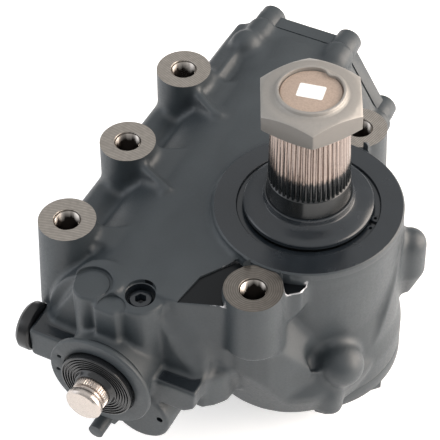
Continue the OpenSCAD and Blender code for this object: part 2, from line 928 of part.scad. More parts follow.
// Half angle of a sector tooth at a given radius, on its involute
function inv_deg(a) = tan(a) * 180 / PI - a;
base_half = (tooth_pitch / 2 - backlash / 2) / 2 / sector_pitch_r * 180 / PI + inv_deg(pressure_angle);
function flank_half(r) = base_half - inv_deg(acos(sector_base_r / r));
flank_steps = 8;
flank_radii = [for (k = [0 : flank_steps])
    sector_base_r + 0.001 + (sector_tip_r - sector_base_r - 0.001) * k / flank_steps];

// Involute tooth pointing along +X
module sector_tooth() {
    foot = sector_root_r - 2;
    polygon(concat([[foot * cos(base_half), foot * sin(base_half)]],
        [for (r = flank_radii) [r * cos(flank_half(r)), r * sin(flank_half(r))]],
        [for (k = [flank_steps : -1 : 0]) let (r = flank_radii[k])
            [r * cos(flank_half(r)), -r * sin(flank_half(r))]],
        [[foot * cos(base_half), -foot * sin(base_half)]]));
}

// Drop arm shaft with its gear sector, serrations and thread
module sector_shaft() {
    top_r = serration_r - serration_taper;
    relief = 1.4;
    color("#b3a9a2")
        on_sector()
            difference() {
                union() {
                    turned([[0, shaft_bottom], [lower_journal_r - 1, shaft_bottom],
                        [lower_journal_r, shaft_bottom + 1], [lower_journal_r, gear_bottom + 1],
                        [journal_r, gear_bottom + 1], [journal_r, 21], [serration_r + 0.4, 22.5],
                        [serration_r + 0.4, serration_start - 2.5], [top_r - 2.4, serration_start + 1],
                        [top_r - 2.4, nut_seat], [thread_r - 1, nut_seat], [thread_r - 1, nut_seat + 2],
                        [thread_r, nut_seat + 3], [thread_r, shaft_top - 1.4], [thread_r - 1.2, shaft_top],
                        [0, shaft_top]]);
                    translate([0, 0, serration_start - 2])
                        linear_extrude(height = nut_seat - serration_start - relief, scale = top_r / serration_r)
                            fluted(serration_r, serration_count, 1.6);
                    translate([0, 0, gear_bottom])
                        linear_extrude(height = gear_width) {
                            circle(r = sector_root_r);
                            for (k = [-1 : 1])
                                rotate(180 + k * 360 / sector_teeth)
                                    sector_tooth();
                        }
                }
                translate([0, 0, shaft_bottom - 1])
                    cylinder(r = adjuster_head_r + seal_gap, h = 16);
            }
}

// Hexagon nut of the drop arm, with its locking collar
module drop_arm_nut() {
    corner = nut_flats / 2 / cos(30);
    flat_r = nut_flats / 2 * 0.95;
    color("#b9b5b0")
        on_sector(nut_seat)
            difference() {
                union() {
                    intersection() {
                        rotate(-63.1)
                            cylinder(r = corner, h = nut_height, $fn = 6);
                        turned([[0, 0], [flat_r, 0], [corner + 0.5, 2.6],
                            [corner + 0.5, nut_height - (corner - flat_r) * tan(30)],
                            [flat_r, nut_height], [0, nut_height]]);
                    }
                    translate([0, 0, nut_height - 1])
                        turned([[0, 0], [thread_r + 4.6, 0], [thread_r + 4.6, 1], [thread_r + 2.6, 2.2],
                            [thread_r + 2.2, collar_h + 0.5], [thread_r + 1.4, collar_h + 1],
                            [0, collar_h + 1]]);
                }
                translate([0, 0, -1])
                    cylinder(r = thread_r, h = nut_height + collar_h + 2);
            }
}

// Dished shield that turns with the shaft above the seal
module dust_shield() {
    foot = seal_top + snap_ring_t + 2.6;
    color("#6a6d6f")
        on_sector()
            turned([[journal_r, foot + 1], [journal_r, foot + 14], [journal_r + 1.6, foot + 14],
                [journal_r + 2.6, foot + 8.6], [shield_r - 1.6, foot + 4.6], [shield_r, foot + 3.4],
                [shield_r, foot], [shield_r - 1.6, foot], [shield_r - 2, foot + 2.2],
                [journal_r + 4, foot + 5.4], [journal_r + 3, foot + 1]]);
}

// Gap between two rack teeth, cut into the flank of the piston
module rack_gap() {
    half = tooth_pitch / 4 + backlash / 4;
    lift = addendum + 6;
    polygon([[rack_root, -half + dedendum * tan(pressure_angle)],
        [rack_line + lift, -half - lift * tan(pressure_angle)],
        [rack_line + lift, half + lift * tan(pressure_angle)],
        [rack_root, half - dedendum * tan(pressure_angle)]]);
}

// Piston with the rack that turns the gear sector
module piston() {
    color("#9a9c9d")
        difference() {
            on_piston()
                turned([[0, -piston_front], [piston_r - 2, -piston_front], [piston_r, -piston_front + 2],
                    [piston_r, ring_y], [piston_r - 4, ring_y], [piston_r - 4, ring_y + ring_t],
                    [piston_r, ring_y + ring_t], [piston_r, piston_back - 2],
                    [piston_r - 2, piston_back], [0, piston_back]]);
            on_piston(-piston_front - 1)
                cylinder(r = nut_bore_r, h = piston_hole_end + piston_front + 1);
            on_piston(-piston_front - 1)
                cylinder(r = ball_nut_r, h = ball_nut_back + piston_front + 1);
            translate([piston_x, 0, piston_z])
                linear_extrude(height = 2 * bore_r, center = true) {
                    for (k = [-1 : 1])
                        translate([0, k * tooth_pitch])
                            rack_gap();
                    translate([rack_tip, -58])
                        square([20, 116]);
                }
        }
}

// Sealing ring of the piston
module piston_ring() {
    color("#3c3a36")
        on_piston(ring_y)
            ring(piston_r, piston_r - 4, ring_t);
}

// Ball nut with its helical race, pressed into the piston
module ball_nut() {
    first = floor(ball_nut_front / worm_lead) - 2;
    turns = ceil((ball_nut_back - ball_nut_front) / worm_lead) + 3;
    color("#8f9294")
        on_piston()
            difference() {
                translate([0, 0, ball_nut_front])
                    cylinder(r = ball_nut_r, h = ball_nut_back - ball_nut_front);
                helical_rod(first * worm_lead, turns, nut_profile);
            }
}

// Threaded ring that holds the ball nut in the piston
module nut_retainer() {
    color("#8f9294")
        on_piston(-piston_front + 0.5)
            ring(ball_nut_r, nut_bore_r + 1, piston_front + ball_nut_front - 0.5);
}

// Balls that run between the worm and the nut
module balls() {
    step = 27;
    first = (-24 / worm_lead - 0.5) * 360;
    color("#c9cacb")
        on_piston()
            for (k = [0 : ball_count - 1])
                let (a = first - step * k)
                    translate([ball_circle * cos(a), ball_circle * sin(a), worm_lead * (a / 360 + 0.5)])
                        sphere(r = ball_r);
}

// Worm with its ball groove and the head that turns in the worm bearing
module worm_screw() {
    first = -floor((inner_wall - 1) / worm_lead);
    color("#a3a5a6")
        on_piston()
            difference() {
                union() {
                    helical_rod(first * worm_lead, 2 - first, worm_profile);
                    translate([0, 0, bearing_seat])
                        cylinder(r = worm_collar_r, h = (first + 1) * worm_lead - bearing_seat + 0.3);
                    translate([0, 0, 2 * worm_lead - 0.3])
                        cylinder(r = worm_collar_r, h = worm_tip - 2 * worm_lead + 0.3);
                    translate([0, 0, bearing_front])
                        cylinder(r = rotor_r, h = bearing_seat - bearing_front + 1);
                    translate([0, 0, sleeve_back])
                        cylinder(r = rotor_r + 4, h = bearing_front - sleeve_back);
                }
                translate([0, 0, sleeve_back - 1])
                    cylinder(r = pilot_r + running_fit, h = 22);
                translate([0, 0, sleeve_back - 1])
                    cylinder(r = bar_r + seal_gap, h = 64);
            }
}

// Valve sleeve that turns with the worm
module valve_sleeve() {
    inner = rotor_r + running_fit;
    outer = valve_bore_r - running_fit;
    length = sleeve_back - sleeve_front;
    band = length / 9;
    color("#8b8e90")
        on_piston(sleeve_front)
            difference() {
                ring(outer, inner, length);
                for (k = [0 : 3])
                    translate([0, 0, band * (0.5 + 2.2 * k)])
                        ring(outer + 1, outer - 2.2, band * 0.7);
                for (k = [0 : 2], a = [0 : 60 : 300])
                    translate([0, 0, band * (1.95 + 2.2 * k)])
                        rotate(a)
                            rotate([0, 90, 0])
                                cylinder(r = band * 0.35, h = outer + 1);
            }
}

// Sealing rings of the valve sleeve
module sleeve_rings() {
    outer = valve_bore_r - running_fit;
    band = (sleeve_back - sleeve_front) / 9;
    color("#3c3a36")
        on_piston(sleeve_front)
            for (k = [0 : 3])
                translate([0, 0, band * (0.5 + 2.2 * k)])
                    ring(outer, outer - 2.2, band * 0.7);
}

// Input shaft with its serrated end and the slotted valve rotor
module input_shaft() {
    neck_y = -input_tip + 6.4;
    serr_y = neck_y + 3.4;
    seal_y = -input_face + 8;
    pilot_end = sleeve_back + 18;
    color("#b7b4b0")
        on_piston()
            difference() {
                union() {
                    turned([[0, -input_tip], [input_r - 1.6, -input_tip], [input_r, -input_tip + 1.6],
                        [input_r, neck_y - 1.2], [input_r - 3.2, neck_y], [input_r - 3.2, serr_y + 0.5],
                        [serr_r - 1.2, serr_y + 0.5], [serr_r - 1.2, seal_y], [stem_r, seal_y],
                        [stem_r, sleeve_front - 0.2], [rotor_r, sleeve_front + 0.8],
                        [rotor_r, sleeve_back - 0.4], [pilot_r, sleeve_back - 0.4],
                        [pilot_r, pilot_end], [0, pilot_end]]);
                    translate([0, 0, serr_y])
                        linear_extrude(height = seal_y - serr_y)
                            fluted(serr_r, input_serrations, 0.9);
                }
                translate([0, 0, -input_tip + 12])
                    cylinder(r = bar_r, h = input_tip);
                for (a = [0 : 60 : 300])
                    rotate(a)
                        translate([rotor_r - 1.6, -2, sleeve_front + 4])
                            cube([4, 4, sleeve_back - sleeve_front - 8]);
            }
}

// Torsion bar between the input shaft and the worm
module torsion_bar() {
    color("#9d9a94")
        on_piston(-input_tip + 12)
            cylinder(r = bar_r, h = input_tip - 12 + sleeve_back + 60);
}

// Rubber dust cover with concentric ribs, on the input shaft
module dust_cover() {
    front = -input_face - 5.2;
    grip = serr_r;
    ribs = [for (k = [0 : 4]) grip + 4 + 2.2 * k];
    color("#17181a")
        on_piston()
            difference() {
                turned([[grip, front - 4], [grip + 1.6, front - 4], [grip + 3.4, front], [28.2, front],
                    [28.8, front + 0.6], [28.8, -input_face + 1.6], [grip, -input_face + 1.6]]);
                for (r = ribs)
                    translate([0, 0, front - 1])
                        ring(r + 1.2, r, 2.6);
            }
}

housing();
end_cover();
end_cover_screws();
end_cover_seal();
side_cover();
side_cover_bolts();
side_cover_seal();
adjusting_screw();
adjusting_nut();
sector_seal();
seal_snap_ring();
upper_bearing();
lower_bearing();
input_cover();
input_seal();
input_bearing();
worm_bearing();
core_plug();
socket_plug();
port_cap();
limiter_screw();
limiter_nut();
sector_shaft();
drop_arm_nut();
dust_shield();
piston();
piston_ring();
ball_nut();
nut_retainer();
balls();
worm_screw();
valve_sleeve();
sleeve_rings();
input_shaft();
torsion_bar();
dust_cover();
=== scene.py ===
"""Dresses a packed steering gearbox: cast housing, machined faces, shaft, seals and fasteners."""

import json
import math

import bmesh
import bpy
import numpy as np
from bpy.props import FloatProperty, FloatVectorProperty, IntProperty, PointerProperty
from mathutils import Matrix, Vector

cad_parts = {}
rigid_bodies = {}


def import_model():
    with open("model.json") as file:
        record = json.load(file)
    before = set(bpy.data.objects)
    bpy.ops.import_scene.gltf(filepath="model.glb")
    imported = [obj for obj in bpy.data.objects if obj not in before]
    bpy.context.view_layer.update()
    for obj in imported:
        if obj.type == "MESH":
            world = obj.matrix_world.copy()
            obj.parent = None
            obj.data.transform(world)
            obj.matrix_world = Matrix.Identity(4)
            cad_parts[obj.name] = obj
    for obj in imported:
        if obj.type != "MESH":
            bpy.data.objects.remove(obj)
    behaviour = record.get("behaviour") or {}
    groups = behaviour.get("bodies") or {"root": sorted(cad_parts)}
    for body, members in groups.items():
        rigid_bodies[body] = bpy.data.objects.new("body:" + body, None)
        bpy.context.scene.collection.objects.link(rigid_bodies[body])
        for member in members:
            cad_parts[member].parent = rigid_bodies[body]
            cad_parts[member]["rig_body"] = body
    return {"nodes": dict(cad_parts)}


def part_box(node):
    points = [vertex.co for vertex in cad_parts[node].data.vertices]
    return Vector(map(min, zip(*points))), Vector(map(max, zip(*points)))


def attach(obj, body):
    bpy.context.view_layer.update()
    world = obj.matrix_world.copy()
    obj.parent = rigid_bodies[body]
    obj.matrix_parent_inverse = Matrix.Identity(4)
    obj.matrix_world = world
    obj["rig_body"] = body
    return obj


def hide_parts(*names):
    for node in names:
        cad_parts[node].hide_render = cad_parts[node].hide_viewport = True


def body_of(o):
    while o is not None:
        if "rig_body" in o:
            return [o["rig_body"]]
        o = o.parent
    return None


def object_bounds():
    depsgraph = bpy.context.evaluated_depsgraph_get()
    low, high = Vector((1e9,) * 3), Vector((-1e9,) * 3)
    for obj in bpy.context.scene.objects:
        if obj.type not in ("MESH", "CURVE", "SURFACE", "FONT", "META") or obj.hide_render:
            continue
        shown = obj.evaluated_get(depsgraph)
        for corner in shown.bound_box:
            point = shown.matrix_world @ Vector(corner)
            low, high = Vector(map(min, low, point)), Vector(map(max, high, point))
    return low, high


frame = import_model()
CAD_LOW, CAD_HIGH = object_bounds()

bl_info = {
    "name": "Steering gearbox",
    "version": (1, 0, 0),
    "blender": (4, 5, 0),
    "location": "View3D > Sidebar > Gearbox",
    "description": "Builds the finished looks of a hydraulic steering gearbox on its solid model",
    "category": "Object",
}

MM = 0.001


# Places and sizes read from the solid model, in millimetres


def span(node, axis):
    """Lowest and highest coordinate of a solid along one axis, in millimetres."""
    low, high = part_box(node)
    return low[axis] / MM, high[axis] / MM


def middle(node, axis):
    low, high = span(node, axis)
    return (low + high) / 2


def half_width(node):
    """Radius of a round solid."""
    low, high = span(node, 0)
    return (high - low) / 2


SEAL_GAP = 0.05
SECTOR_X = middle("drop_arm_nut", 0)
PISTON_X = middle("piston_ring", 0)
PISTON_Z = middle("piston_ring", 2)
SECTOR_AXIS = (SECTOR_X, 0, 0)
PISTON_AXIS = (PISTON_X, 0, PISTON_Z)
BORE_R = half_width("end_cover_seal") + SEAL_GAP
BARREL_R = BORE_R + 3
VALVE_BORE_R = half_width("worm_bearing")
NECK_R = VALVE_BORE_R + 7
SEAL_BORE_R = half_width("sector_seal")
BEARING_R = half_width("upper_bearing")
CHAMBER_R = half_width("side_cover_seal") + SEAL_GAP
COVER_R = half_width("side_cover")
PLUG_R = half_width("core_plug")
SEAL_FLOOR, SEAL_TOP = span("sector_seal", 2)
# The gear chamber starts a little below the bearing
BEARING_BOTTOM = span("upper_bearing", 2)[0] - 1
SHAFT_TOP = span("sector_shaft", 2)[1]
NECK_END, END_PLANE = span("housing", 1)
FLOOR_Z = CAD_LOW[2]

MOUNT_X = SECTOR_X
MOUNT_Y = 91
BOSSES = [(-MOUNT_X, MOUNT_Y), (-MOUNT_X, 0), (-MOUNT_X, -MOUNT_Y), (MOUNT_X, -MOUNT_Y), (MOUNT_X, MOUNT_Y)]
FRONT_BOSS = BOSSES[3]
BOSS_R = 21.5
HUB_R = 70.5
HUB_TOP = 2
COVER_PLANE = -138
BORE_END = -109
RING_GROOVE = 1.9
THREAD_MINOR_R = 9.25
THREAD_HEIGHT = 0.8
THREAD_ROOT_R = THREAD_MINOR_R + 0.85
THREAD_START = -0.6
THREAD_END = -32
THREAD_DEPTH = 38
END_SCREWS = 6
END_SCREW_CIRCLE = 68
SIDE_BOLTS = 7
SIDE_BOLT_STEP = 40
SIDE_BOLT_START = -132
SIDE_BOLT_CIRCLE = CHAMBER_R + 7.4

# Stock left for machining, the ends of the cutters, and a distance well outside the casting
STOCK = 6
CUT_TOP = 14
CUT_END = -170
FAR = 400

# Flat round the front boss: its height, and its outline from the sector axis
SPOT_Z = -8.7
SPOT = [
    (-46, -120), (-15, -108.5), (4, -99), (17, -82), (29, -72.5), (29.5, -63), (10, -58), (-26, -68), (-42, -92),
]
# Worn rim of the flat: its width, where it is looked for, and how it fades towards the left
RIM = 8
RIM_BOX = ((0, 112), (-125, -50), (SPOT_Z - 1.5, SPOT_Z + 6))
FADE_START, FADE_LENGTH, FADE_LEAST = -52, 26, 0.6

# Pads, plug seats and holes of the valve end
PAD = (PISTON_X - 19.5, -130, -11)
SOCKET = (PISTON_X + 16.2, -123, -11)
PORT = (PISTON_X - 72, -128, PISTON_Z - 14)
LIMITER = (PISTON_X - 4, -142, PISTON_Z - 56)
LOBE_HOLE = (PISTON_X + 38.5, -146, PISTON_Z - 43.5)
SECOND_PAD = (PISTON_X + 2.5, -141.5, -12.6)
VALVE_SIDE = -99
VALVE_RIGHT = PISTON_X + 36
EAR_TOP = PISTON_Z + 9
EAR_FRONT = -112

# Places where the casting runs over more softly: place, reach and passes
SOFT_SPOTS = [
    ((SECTOR_X - 38, -122, -27), 17, 50),
    ((SECTOR_X - 34, -121, -46), 18, 50),
    ((SECTOR_X - 30, -119, -62), 15, 30),
    ((SECTOR_X - 20, -116, -88), 20, 30),
    ((SECTOR_X + 30, -78, -66), 24, 20),
    ((SECTOR_X + 53, -53, -97), 30, 4),
    ((SECTOR_X + 49, -63, -125), 20, 10),
    ((-MOUNT_X + 8, MOUNT_Y - 14, -30), 34, 4),
    ((-MOUNT_X + 8, -14, -30), 34, 4),
]
# Metal that fills the corner between the right ear and the front wall
EAR_CORNER = [(40, -125), (50, -125), (57, -121), (64, -112), (66, -100), (40, -96)]
# Ribs that run from the rear bosses onto the plate: first and last point, and half their width
BOSS_RIBS = [((-64, -9), (-26, -26)), ((-64, 82), (-33, 62))]
RIB_HALF = 3.4
# Slope of the wall below the front boss, as x from the sector axis and height, and the pocket at its foot
SLOPE = [(17, -47), (37, -84), (75, -84), (75, -25), (31, -25)]
POCKET = (SECTOR_X + 39, -66, 0)
POCKET_R = 8.5
KNOB = (SECTOR_X + 53.5, -53, -97)
KNOB_R = 17.5
# Skirt below the knob, as radius and height about an axis of its own, and where it ends
SKIRT = [(0, -138), (65.5, -138), (70.6, -120), (71, -114), (66, -104), (55, -92), (0, -92)]
SKIRT_AXIS = (SECTOR_X - 2, -24, 0)
SKIRT_LEFT, SKIRT_BACK = SECTOR_X + 16, -8
# Middle of the sweep of the cutter that faced the rear bosses
MILL_CENTRE = (-260, 170, 0)

# Shaft end: edge of the paint, flats of the nut, the dent in its collar, and the label
PAINT_LINE = 50
HEXAGON_R = 30
STAKE_ANGLE, STAKE_WIDTH, STAKE_DEPTH = 76, 11, 3.2
LABEL_SHAPE = 0.72
LABEL_CORNER = 1.4
LABEL_TURN = 11

# Places of the finishes on the housing
# the last finish is the near-black painted shade of the flat by the front boss
CAST, MILLED, SMOOTH, SHADED_FLAT = range(4)

# Viewing angle as azimuth, elevation and roll in degrees, and place of the camera
CAMERA_ANGLES = (28.29, 46.76, -1.54)
CAMERA_PLACE = (460.0, -851.1, 976.8)
LIGHT_AIM = (0, 0, -60)


def linear(code):
    """sRGB hex colour as linear RGB."""
    parts = [int(code[i : i + 2], 16) / 255 for i in (1, 3, 5)]
    return tuple(c / 12.92 if c <= 0.04045 else ((c + 0.055) / 1.055) ** 2.4 for c in parts)


def colour(name, about, code):
    return FloatVectorProperty(
        name=name, description=about, subtype="COLOR", size=3, min=0, max=1, default=linear(code)
    )


class GearboxCasting(bpy.types.PropertyGroup):
    grid: FloatProperty(
        name="Grid", description="Edge of the mesh cells of a casting", default=1.25 * MM, unit="LENGTH"
    )
    fillet: FloatProperty(
        name="Fillet", description="Radius in the inner corners of a casting", default=4 * MM, unit="LENGTH"
    )
    small_fillet: FloatProperty(
        name="Small fillet", description="Radius in the corners of the valve end", default=1.3 * MM, unit="LENGTH"
    )
    passes: IntProperty(name="Smoothing", description="Rounds of smoothing over cast edges", default=7)
    bevel: FloatProperty(
        name="Bevel", description="Broken edge of a machined piece", default=0.4 * MM, unit="LENGTH"
    )
    pitch: FloatProperty(
        name="Thread pitch", description="Pitch of the tapped holes", default=1.5 * MM, unit="LENGTH"
    )
    label_width: FloatProperty(
        name="Label", description="Width of the blank paper label", default=19 * MM, unit="LENGTH"
    )


class GearboxFinish(bpy.types.PropertyGroup):
    paint: colour("Paint", "Satin paint of the castings", "#31373b")
    smooth: colour("Smooth paint", "The paint on machined faces", "#1d2227")
    # painted shade: the same paint drawn darker for machined faces, standing for the dark they mirror
    iron: colour("Milled iron", "Bare faces of the mounting bosses", "#9c968f")
    nut: colour("Nut", "Phosphated steel of the drop arm nut", "#9a9691")
    serration: colour("Serrations", "Bare steel of the drop arm shaft", "#978a83")
    shaft_end: colour("Shaft end", "Oxide on the end of the drop arm shaft", "#b5a294")
    steel: colour("Steel", "Ground steel of the input shaft", "#bdb4ad")
    rubber: colour("Rubber", "Dust cover and seals", "#1b1d1f")


class GearboxStage(bpy.types.PropertyGroup):
    floor: colour("Floor", "Pale floor", "#f4f4f4")
    key: FloatProperty(name="Key light", description="Power of the large soft light", default=6, unit="POWER")
    fill: FloatProperty(name="Fill light", description="Power of the light on the right", default=68, unit="POWER")
    lens: FloatProperty(
        name="Lens", description="Focal length in millimetres", default=150.48, subtype="DISTANCE_CAMERA"
    )


def casting_set():
    return bpy.context.scene.gearbox_casting


def finish_set():
    return bpy.context.scene.gearbox_finish


def stage_set():
    return bpy.context.scene.gearbox_stage


# Meshes


def new_object(name, mesh):
    obj = bpy.data.objects.new(name, mesh)
    bpy.context.scene.collection.objects.link(obj)
    return obj


def discard(obj):
    mesh = obj.data
    bpy.data.objects.remove(obj)
    bpy.data.meshes.remove(mesh)


def lathe(bm, profile, place=(0, 0, 0), axis="Z", steps=96):
    """Adds a solid turned from [radius, height] points in millimetres about an axis through a place."""
    turn = {
        "Z": Matrix.Identity(4),
        "Y": Matrix.Rotation(-math.pi / 2, 4, "X"),
        "X": Matrix.Rotation(math.pi / 2, 4, "Y"),
    }
    matrix = Matrix.Translation(Vector(place) * MM) @ turn[axis]
    angles = [2 * math.pi * k / steps for k in range(steps)]
    rings = []
    for radius, height in profile:
        if radius < 1e-6:
            points = [Vector((0, 0, height * MM))]
        else:
            points = [Vector((radius * math.cos(a), radius * math.sin(a), height)) * MM for a in angles]
        rings.append([bm.verts.new(matrix @ point) for point in points])
    faces = []
    for a, b in zip(rings, rings[1:]):
        for k in range(steps):
            n = (k + 1) % steps
            loop = [a[k % len(a)], a[n % len(a)], b[n % len(b)], b[k % len(b)]]
            loop = list(dict.fromkeys(loop))
            if len(loop) > 2:
                faces.append(bm.faces.new(loop))
    bmesh.ops.recalc_face_normals(bm, faces=faces)


def rod(bm, radius, bottom, top, place, axis="Z", steps=96):
    """Adds a plain cylinder along an axis through a place."""
    lathe(bm, [(0, bottom), (radius, bottom), (radius, top), (0, top)], place, axis, steps)


def prism(bm, outline, bottom, top, axis="Z"):
    """Adds a solid drawn out from a closed outline along an axis, all in millimetres."""
    place = {"Z": lambda a, b, c: Vector((a, b, c)) * MM, "Y": lambda a, b, c: Vector((a, c, b)) * MM}[axis]
    low = [bm.verts.new(place(a, b, bottom)) for a, b in outline]
    high = [bm.verts.new(place(a, b, top)) for a, b in outline]
    count = len(outline)
    faces = [bm.faces.new(low[::-1]), bm.faces.new(high)]
    for k in range(count):
        n = (k + 1) % count
        faces.append(bm.faces.new([low[k], low[n], high[n], high[k]]))
    bmesh.ops.recalc_face_normals(bm, faces=faces)


def mesh_of(name, bm):
    mesh = bpy.data.meshes.new(name)
    bm.to_mesh(mesh)
    bm.free()
    return mesh


def welded(node):
    """The mesh of a solid as one closed skin."""
    bm = bmesh.new()
    bm.from_mesh(frame["nodes"][node].data)
    bmesh.ops.remove_doubles(bm, verts=bm.verts, dist=1e-6)
    bmesh.ops.dissolve_degenerate(bm, edges=bm.edges, dist=1e-7)
    return bm


def bake(obj):
    """Makes what the modifiers give the object's own mesh."""
    graph = bpy.context.evaluated_depsgraph_get()
    mesh = bpy.data.meshes.new_from_object(obj.evaluated_get(graph))
    old = obj.data
    obj.modifiers.clear()
    obj.data = mesh
    bpy.data.meshes.remove(old)


def regrid(obj, size):
    """Rebuilds the skin on an even grid, which joins all that overlaps."""
    grid = obj.modifiers.new("grid", "REMESH")
    grid.mode = "VOXEL"
    grid.voxel_size = size
    bake(obj)


def read(mesh):
    points = np.empty(len(mesh.vertices) * 3)
    mesh.vertices.foreach_get("co", points)
    return points.reshape(-1, 3)


def write(mesh, points):
    mesh.vertices.foreach_set("co", points.ravel())
    mesh.update()


def normals_of(mesh):
    normals = np.empty(len(mesh.vertices) * 3)
    mesh.vertex_normals.foreach_get("vector", normals)
    return normals.reshape(-1, 3)


def swell(obj, distance):
    """Moves the skin along its normals."""
    write(obj.data, read(obj.data) + normals_of(obj.data) * distance)


def averager(mesh):
    """A function that gives the mean of the neighbours of every point of the mesh."""
    edges = np.empty(len(mesh.edges) * 2, np.int64)
    mesh.edges.foreach_get("vertices", edges)
    a, b = edges.reshape(-1, 2).T
    both, other = np.concatenate([a, b]), np.concatenate([b, a])
    total = len(mesh.vertices)
    count = np.bincount(both, minlength=total)[:, None]
    return lambda points: np.stack([np.bincount(both, points[other, k], total) for k in range(3)], 1) / count


def relax(obj, passes, crisp_below):
    """Smooths a skin without shrinking it, by turns of averaging and sharpening, less so at the valve end."""
    average, sharpen, steps_all_over = 0.55, -0.5, 6
    mesh = obj.data
    points = read(mesh)
    mean = averager(mesh)
    soft = (points[:, 1] > crisp_below * MM)[:, None]
    for step in range(passes * 2):
        share = 1.0 if step < steps_all_over else soft
        points = points + share * (average if step % 2 == 0 else sharpen) * (mean(points) - points)
    write(mesh, points)


def melt(obj, spots):
    """Rounds off the skin round some spots, each a place and a reach in millimetres and a number of passes."""
    pull, border = 0.5, 0.35
    mesh = obj.data
    points = read(mesh)
    mean = averager(mesh)
    for place, reach, passes in spots:
        away = np.linalg.norm(points / MM - np.array(place), axis=1)
        share = np.clip((reach - away) / (border * reach), 0, 1)[:, None]
        for _ in range(passes):
            points = points + pull * share * (mean(points) - points)
    write(mesh, points)


def cut(obj, other, operation="DIFFERENCE"):
    """Takes the other solid out of the object, or joins it on, and uses it up."""
    tool = obj.modifiers.new("cut", "BOOLEAN")
    tool.operation = operation
    tool.solver = "MANIFOLD"
    tool.object = other
    bake(obj)
    discard(other)


def cutter(build):
    """An object whose faces all count as machined."""
    bm = bmesh.new()
    build(bm)
    for face in bm.faces:
        face.material_index = MILLED
    return new_object("cutter", mesh_of("cutter", bm))


def crease(mesh, limit, machined_only):
    """Shades the mesh smooth, with crisp edges where it turns more than the limit."""
    bm = bmesh.new()
    bm.from_mesh(mesh)
    for face in bm.faces:
        face.smooth = True
    for edge in bm.edges:
        if len(edge.link_faces) != 2:
            continue
        a, b = edge.link_faces
        counts = not machined_only or a.material_index or b.material_index
        edge.smooth = not (counts and edge.calc_face_angle(0) > limit)
    bm.to_mesh(mesh)
    bm.free()


def finished(node, name, material, bevel=None, body=None, limit=30):
    """A welded copy of a solid with broken edges and a finish, which stands for the solid."""
    mesh = mesh_of(name, welded(node))
    mesh.materials.clear()
    mesh.materials.append(material)
    obj = new_object(name, mesh)
    for polygon in mesh.polygons:
        polygon.material_index = 0
    width = casting_set().bevel if bevel is None else bevel
    if width > 0:
        edge = obj.modifiers.new("bevel", "BEVEL")
        edge.width = width
        edge.segments = 2
        edge.limit_method = "ANGLE"
        edge.angle_limit = math.radians(limit)
        bake(obj)
    crease(obj.data, math.radians(limit), False)
    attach(obj, body or body_of(frame["nodes"][node])[0])
    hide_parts(node)
    return obj


# Materials


def add(tree, kind, inputs=None, **settings):
    """Adds a node with its settings, and fills or links the inputs that are given."""
    node = tree.nodes.new(kind)
    for key, value in settings.items():
        setattr(node, key, value)
    for socket, value in (inputs or {}).items():
        if isinstance(value, bpy.types.NodeSocket):
            tree.links.new(value, node.inputs[socket])
        elif value is not None:
            node.inputs[socket].default_value = value
    return node


def material(name):
    """An empty node material and its tree."""
    made = bpy.data.materials.new(name)
    made.use_nodes = True
    made.node_tree.nodes.clear()
    return made, made.node_tree


def rgba(rgb, factor=1.0):
    return tuple(min(1.0, c * factor) for c in rgb) + (1.0,)


def per_mm(size):
    """Texture scale whose features are about this many millimetres wide."""
    return 1 / (size * MM)


WHITE = rgba(linear("#ffffff"))
# Refraction of the paint film
PAINT_INDEX = 1.52
# Range that most of a noise lies in
NOISE_LOW, NOISE_HIGH = 0.3, 0.7
# Width of one ring of the wave texture at scale 1
WAVE_WIDTH = math.pi / 10


def place_on(tree):
    """Place on the piece, which the patterns follow."""
    return add(tree, "ShaderNodeTexCoord").outputs["Object"]


def marked(tree, name, output="Fac"):
    """Value that the mesh carries under a name."""
    return add(tree, "ShaderNodeAttribute", attribute_name=name).outputs[output]


def noise(tree, where, size, detail, rough=None):
    """Noise whose features are about this many millimetres wide."""
    inputs = {"Vector": where, "Scale": per_mm(size), "Detail": detail, "Roughness": rough}
    return add(tree, "ShaderNodeTexNoise", inputs).outputs[0]


def height_of(tree, where):
    return add(tree, "ShaderNodeSeparateXYZ", {0: where}).outputs["Z"]


def shade(tree, factor, first, second):
    """Colour between two others."""
    return add(tree, "ShaderNodeMix", {0: factor, 6: first, 7: second}, data_type="RGBA").outputs[2]


def remap(tree, value, start, end, low=0.0, high=1.0):
    """Runs from low to high while the value runs from start to end."""
    inputs = {"Value": value, "From Min": start, "From Max": end, "To Min": low, "To Max": high}
    return add(tree, "ShaderNodeMapRange", inputs).outputs[0]


def combine(tree, operation, *values):
    return add(tree, "ShaderNodeMath", dict(enumerate(values)), operation=operation).outputs[0]


def relief(tree, height, strength, depth, under=None):
    """Normal of a pattern that stands up by a depth in millimetres."""
    inputs = {"Height": height, "Strength": strength, "Distance": depth * MM, "Normal": under}
    return add(tree, "ShaderNodeBump", inputs).outputs[0]


def surface(tree, tone, rough, metal=0.0, normal=None, index=None):
    inputs = {"Base Color": tone, "Roughness": rough, "Metallic": metal, "Normal": normal, "IOR": index}
    return add(tree, "ShaderNodeBsdfPrincipled", inputs).outputs[0]


def mixed(tree, factor, first, second):
    """Surface or light between two others."""
    return add(tree, "ShaderNodeMixShader", {0: factor, 1: first, 2: second}).outputs[0]


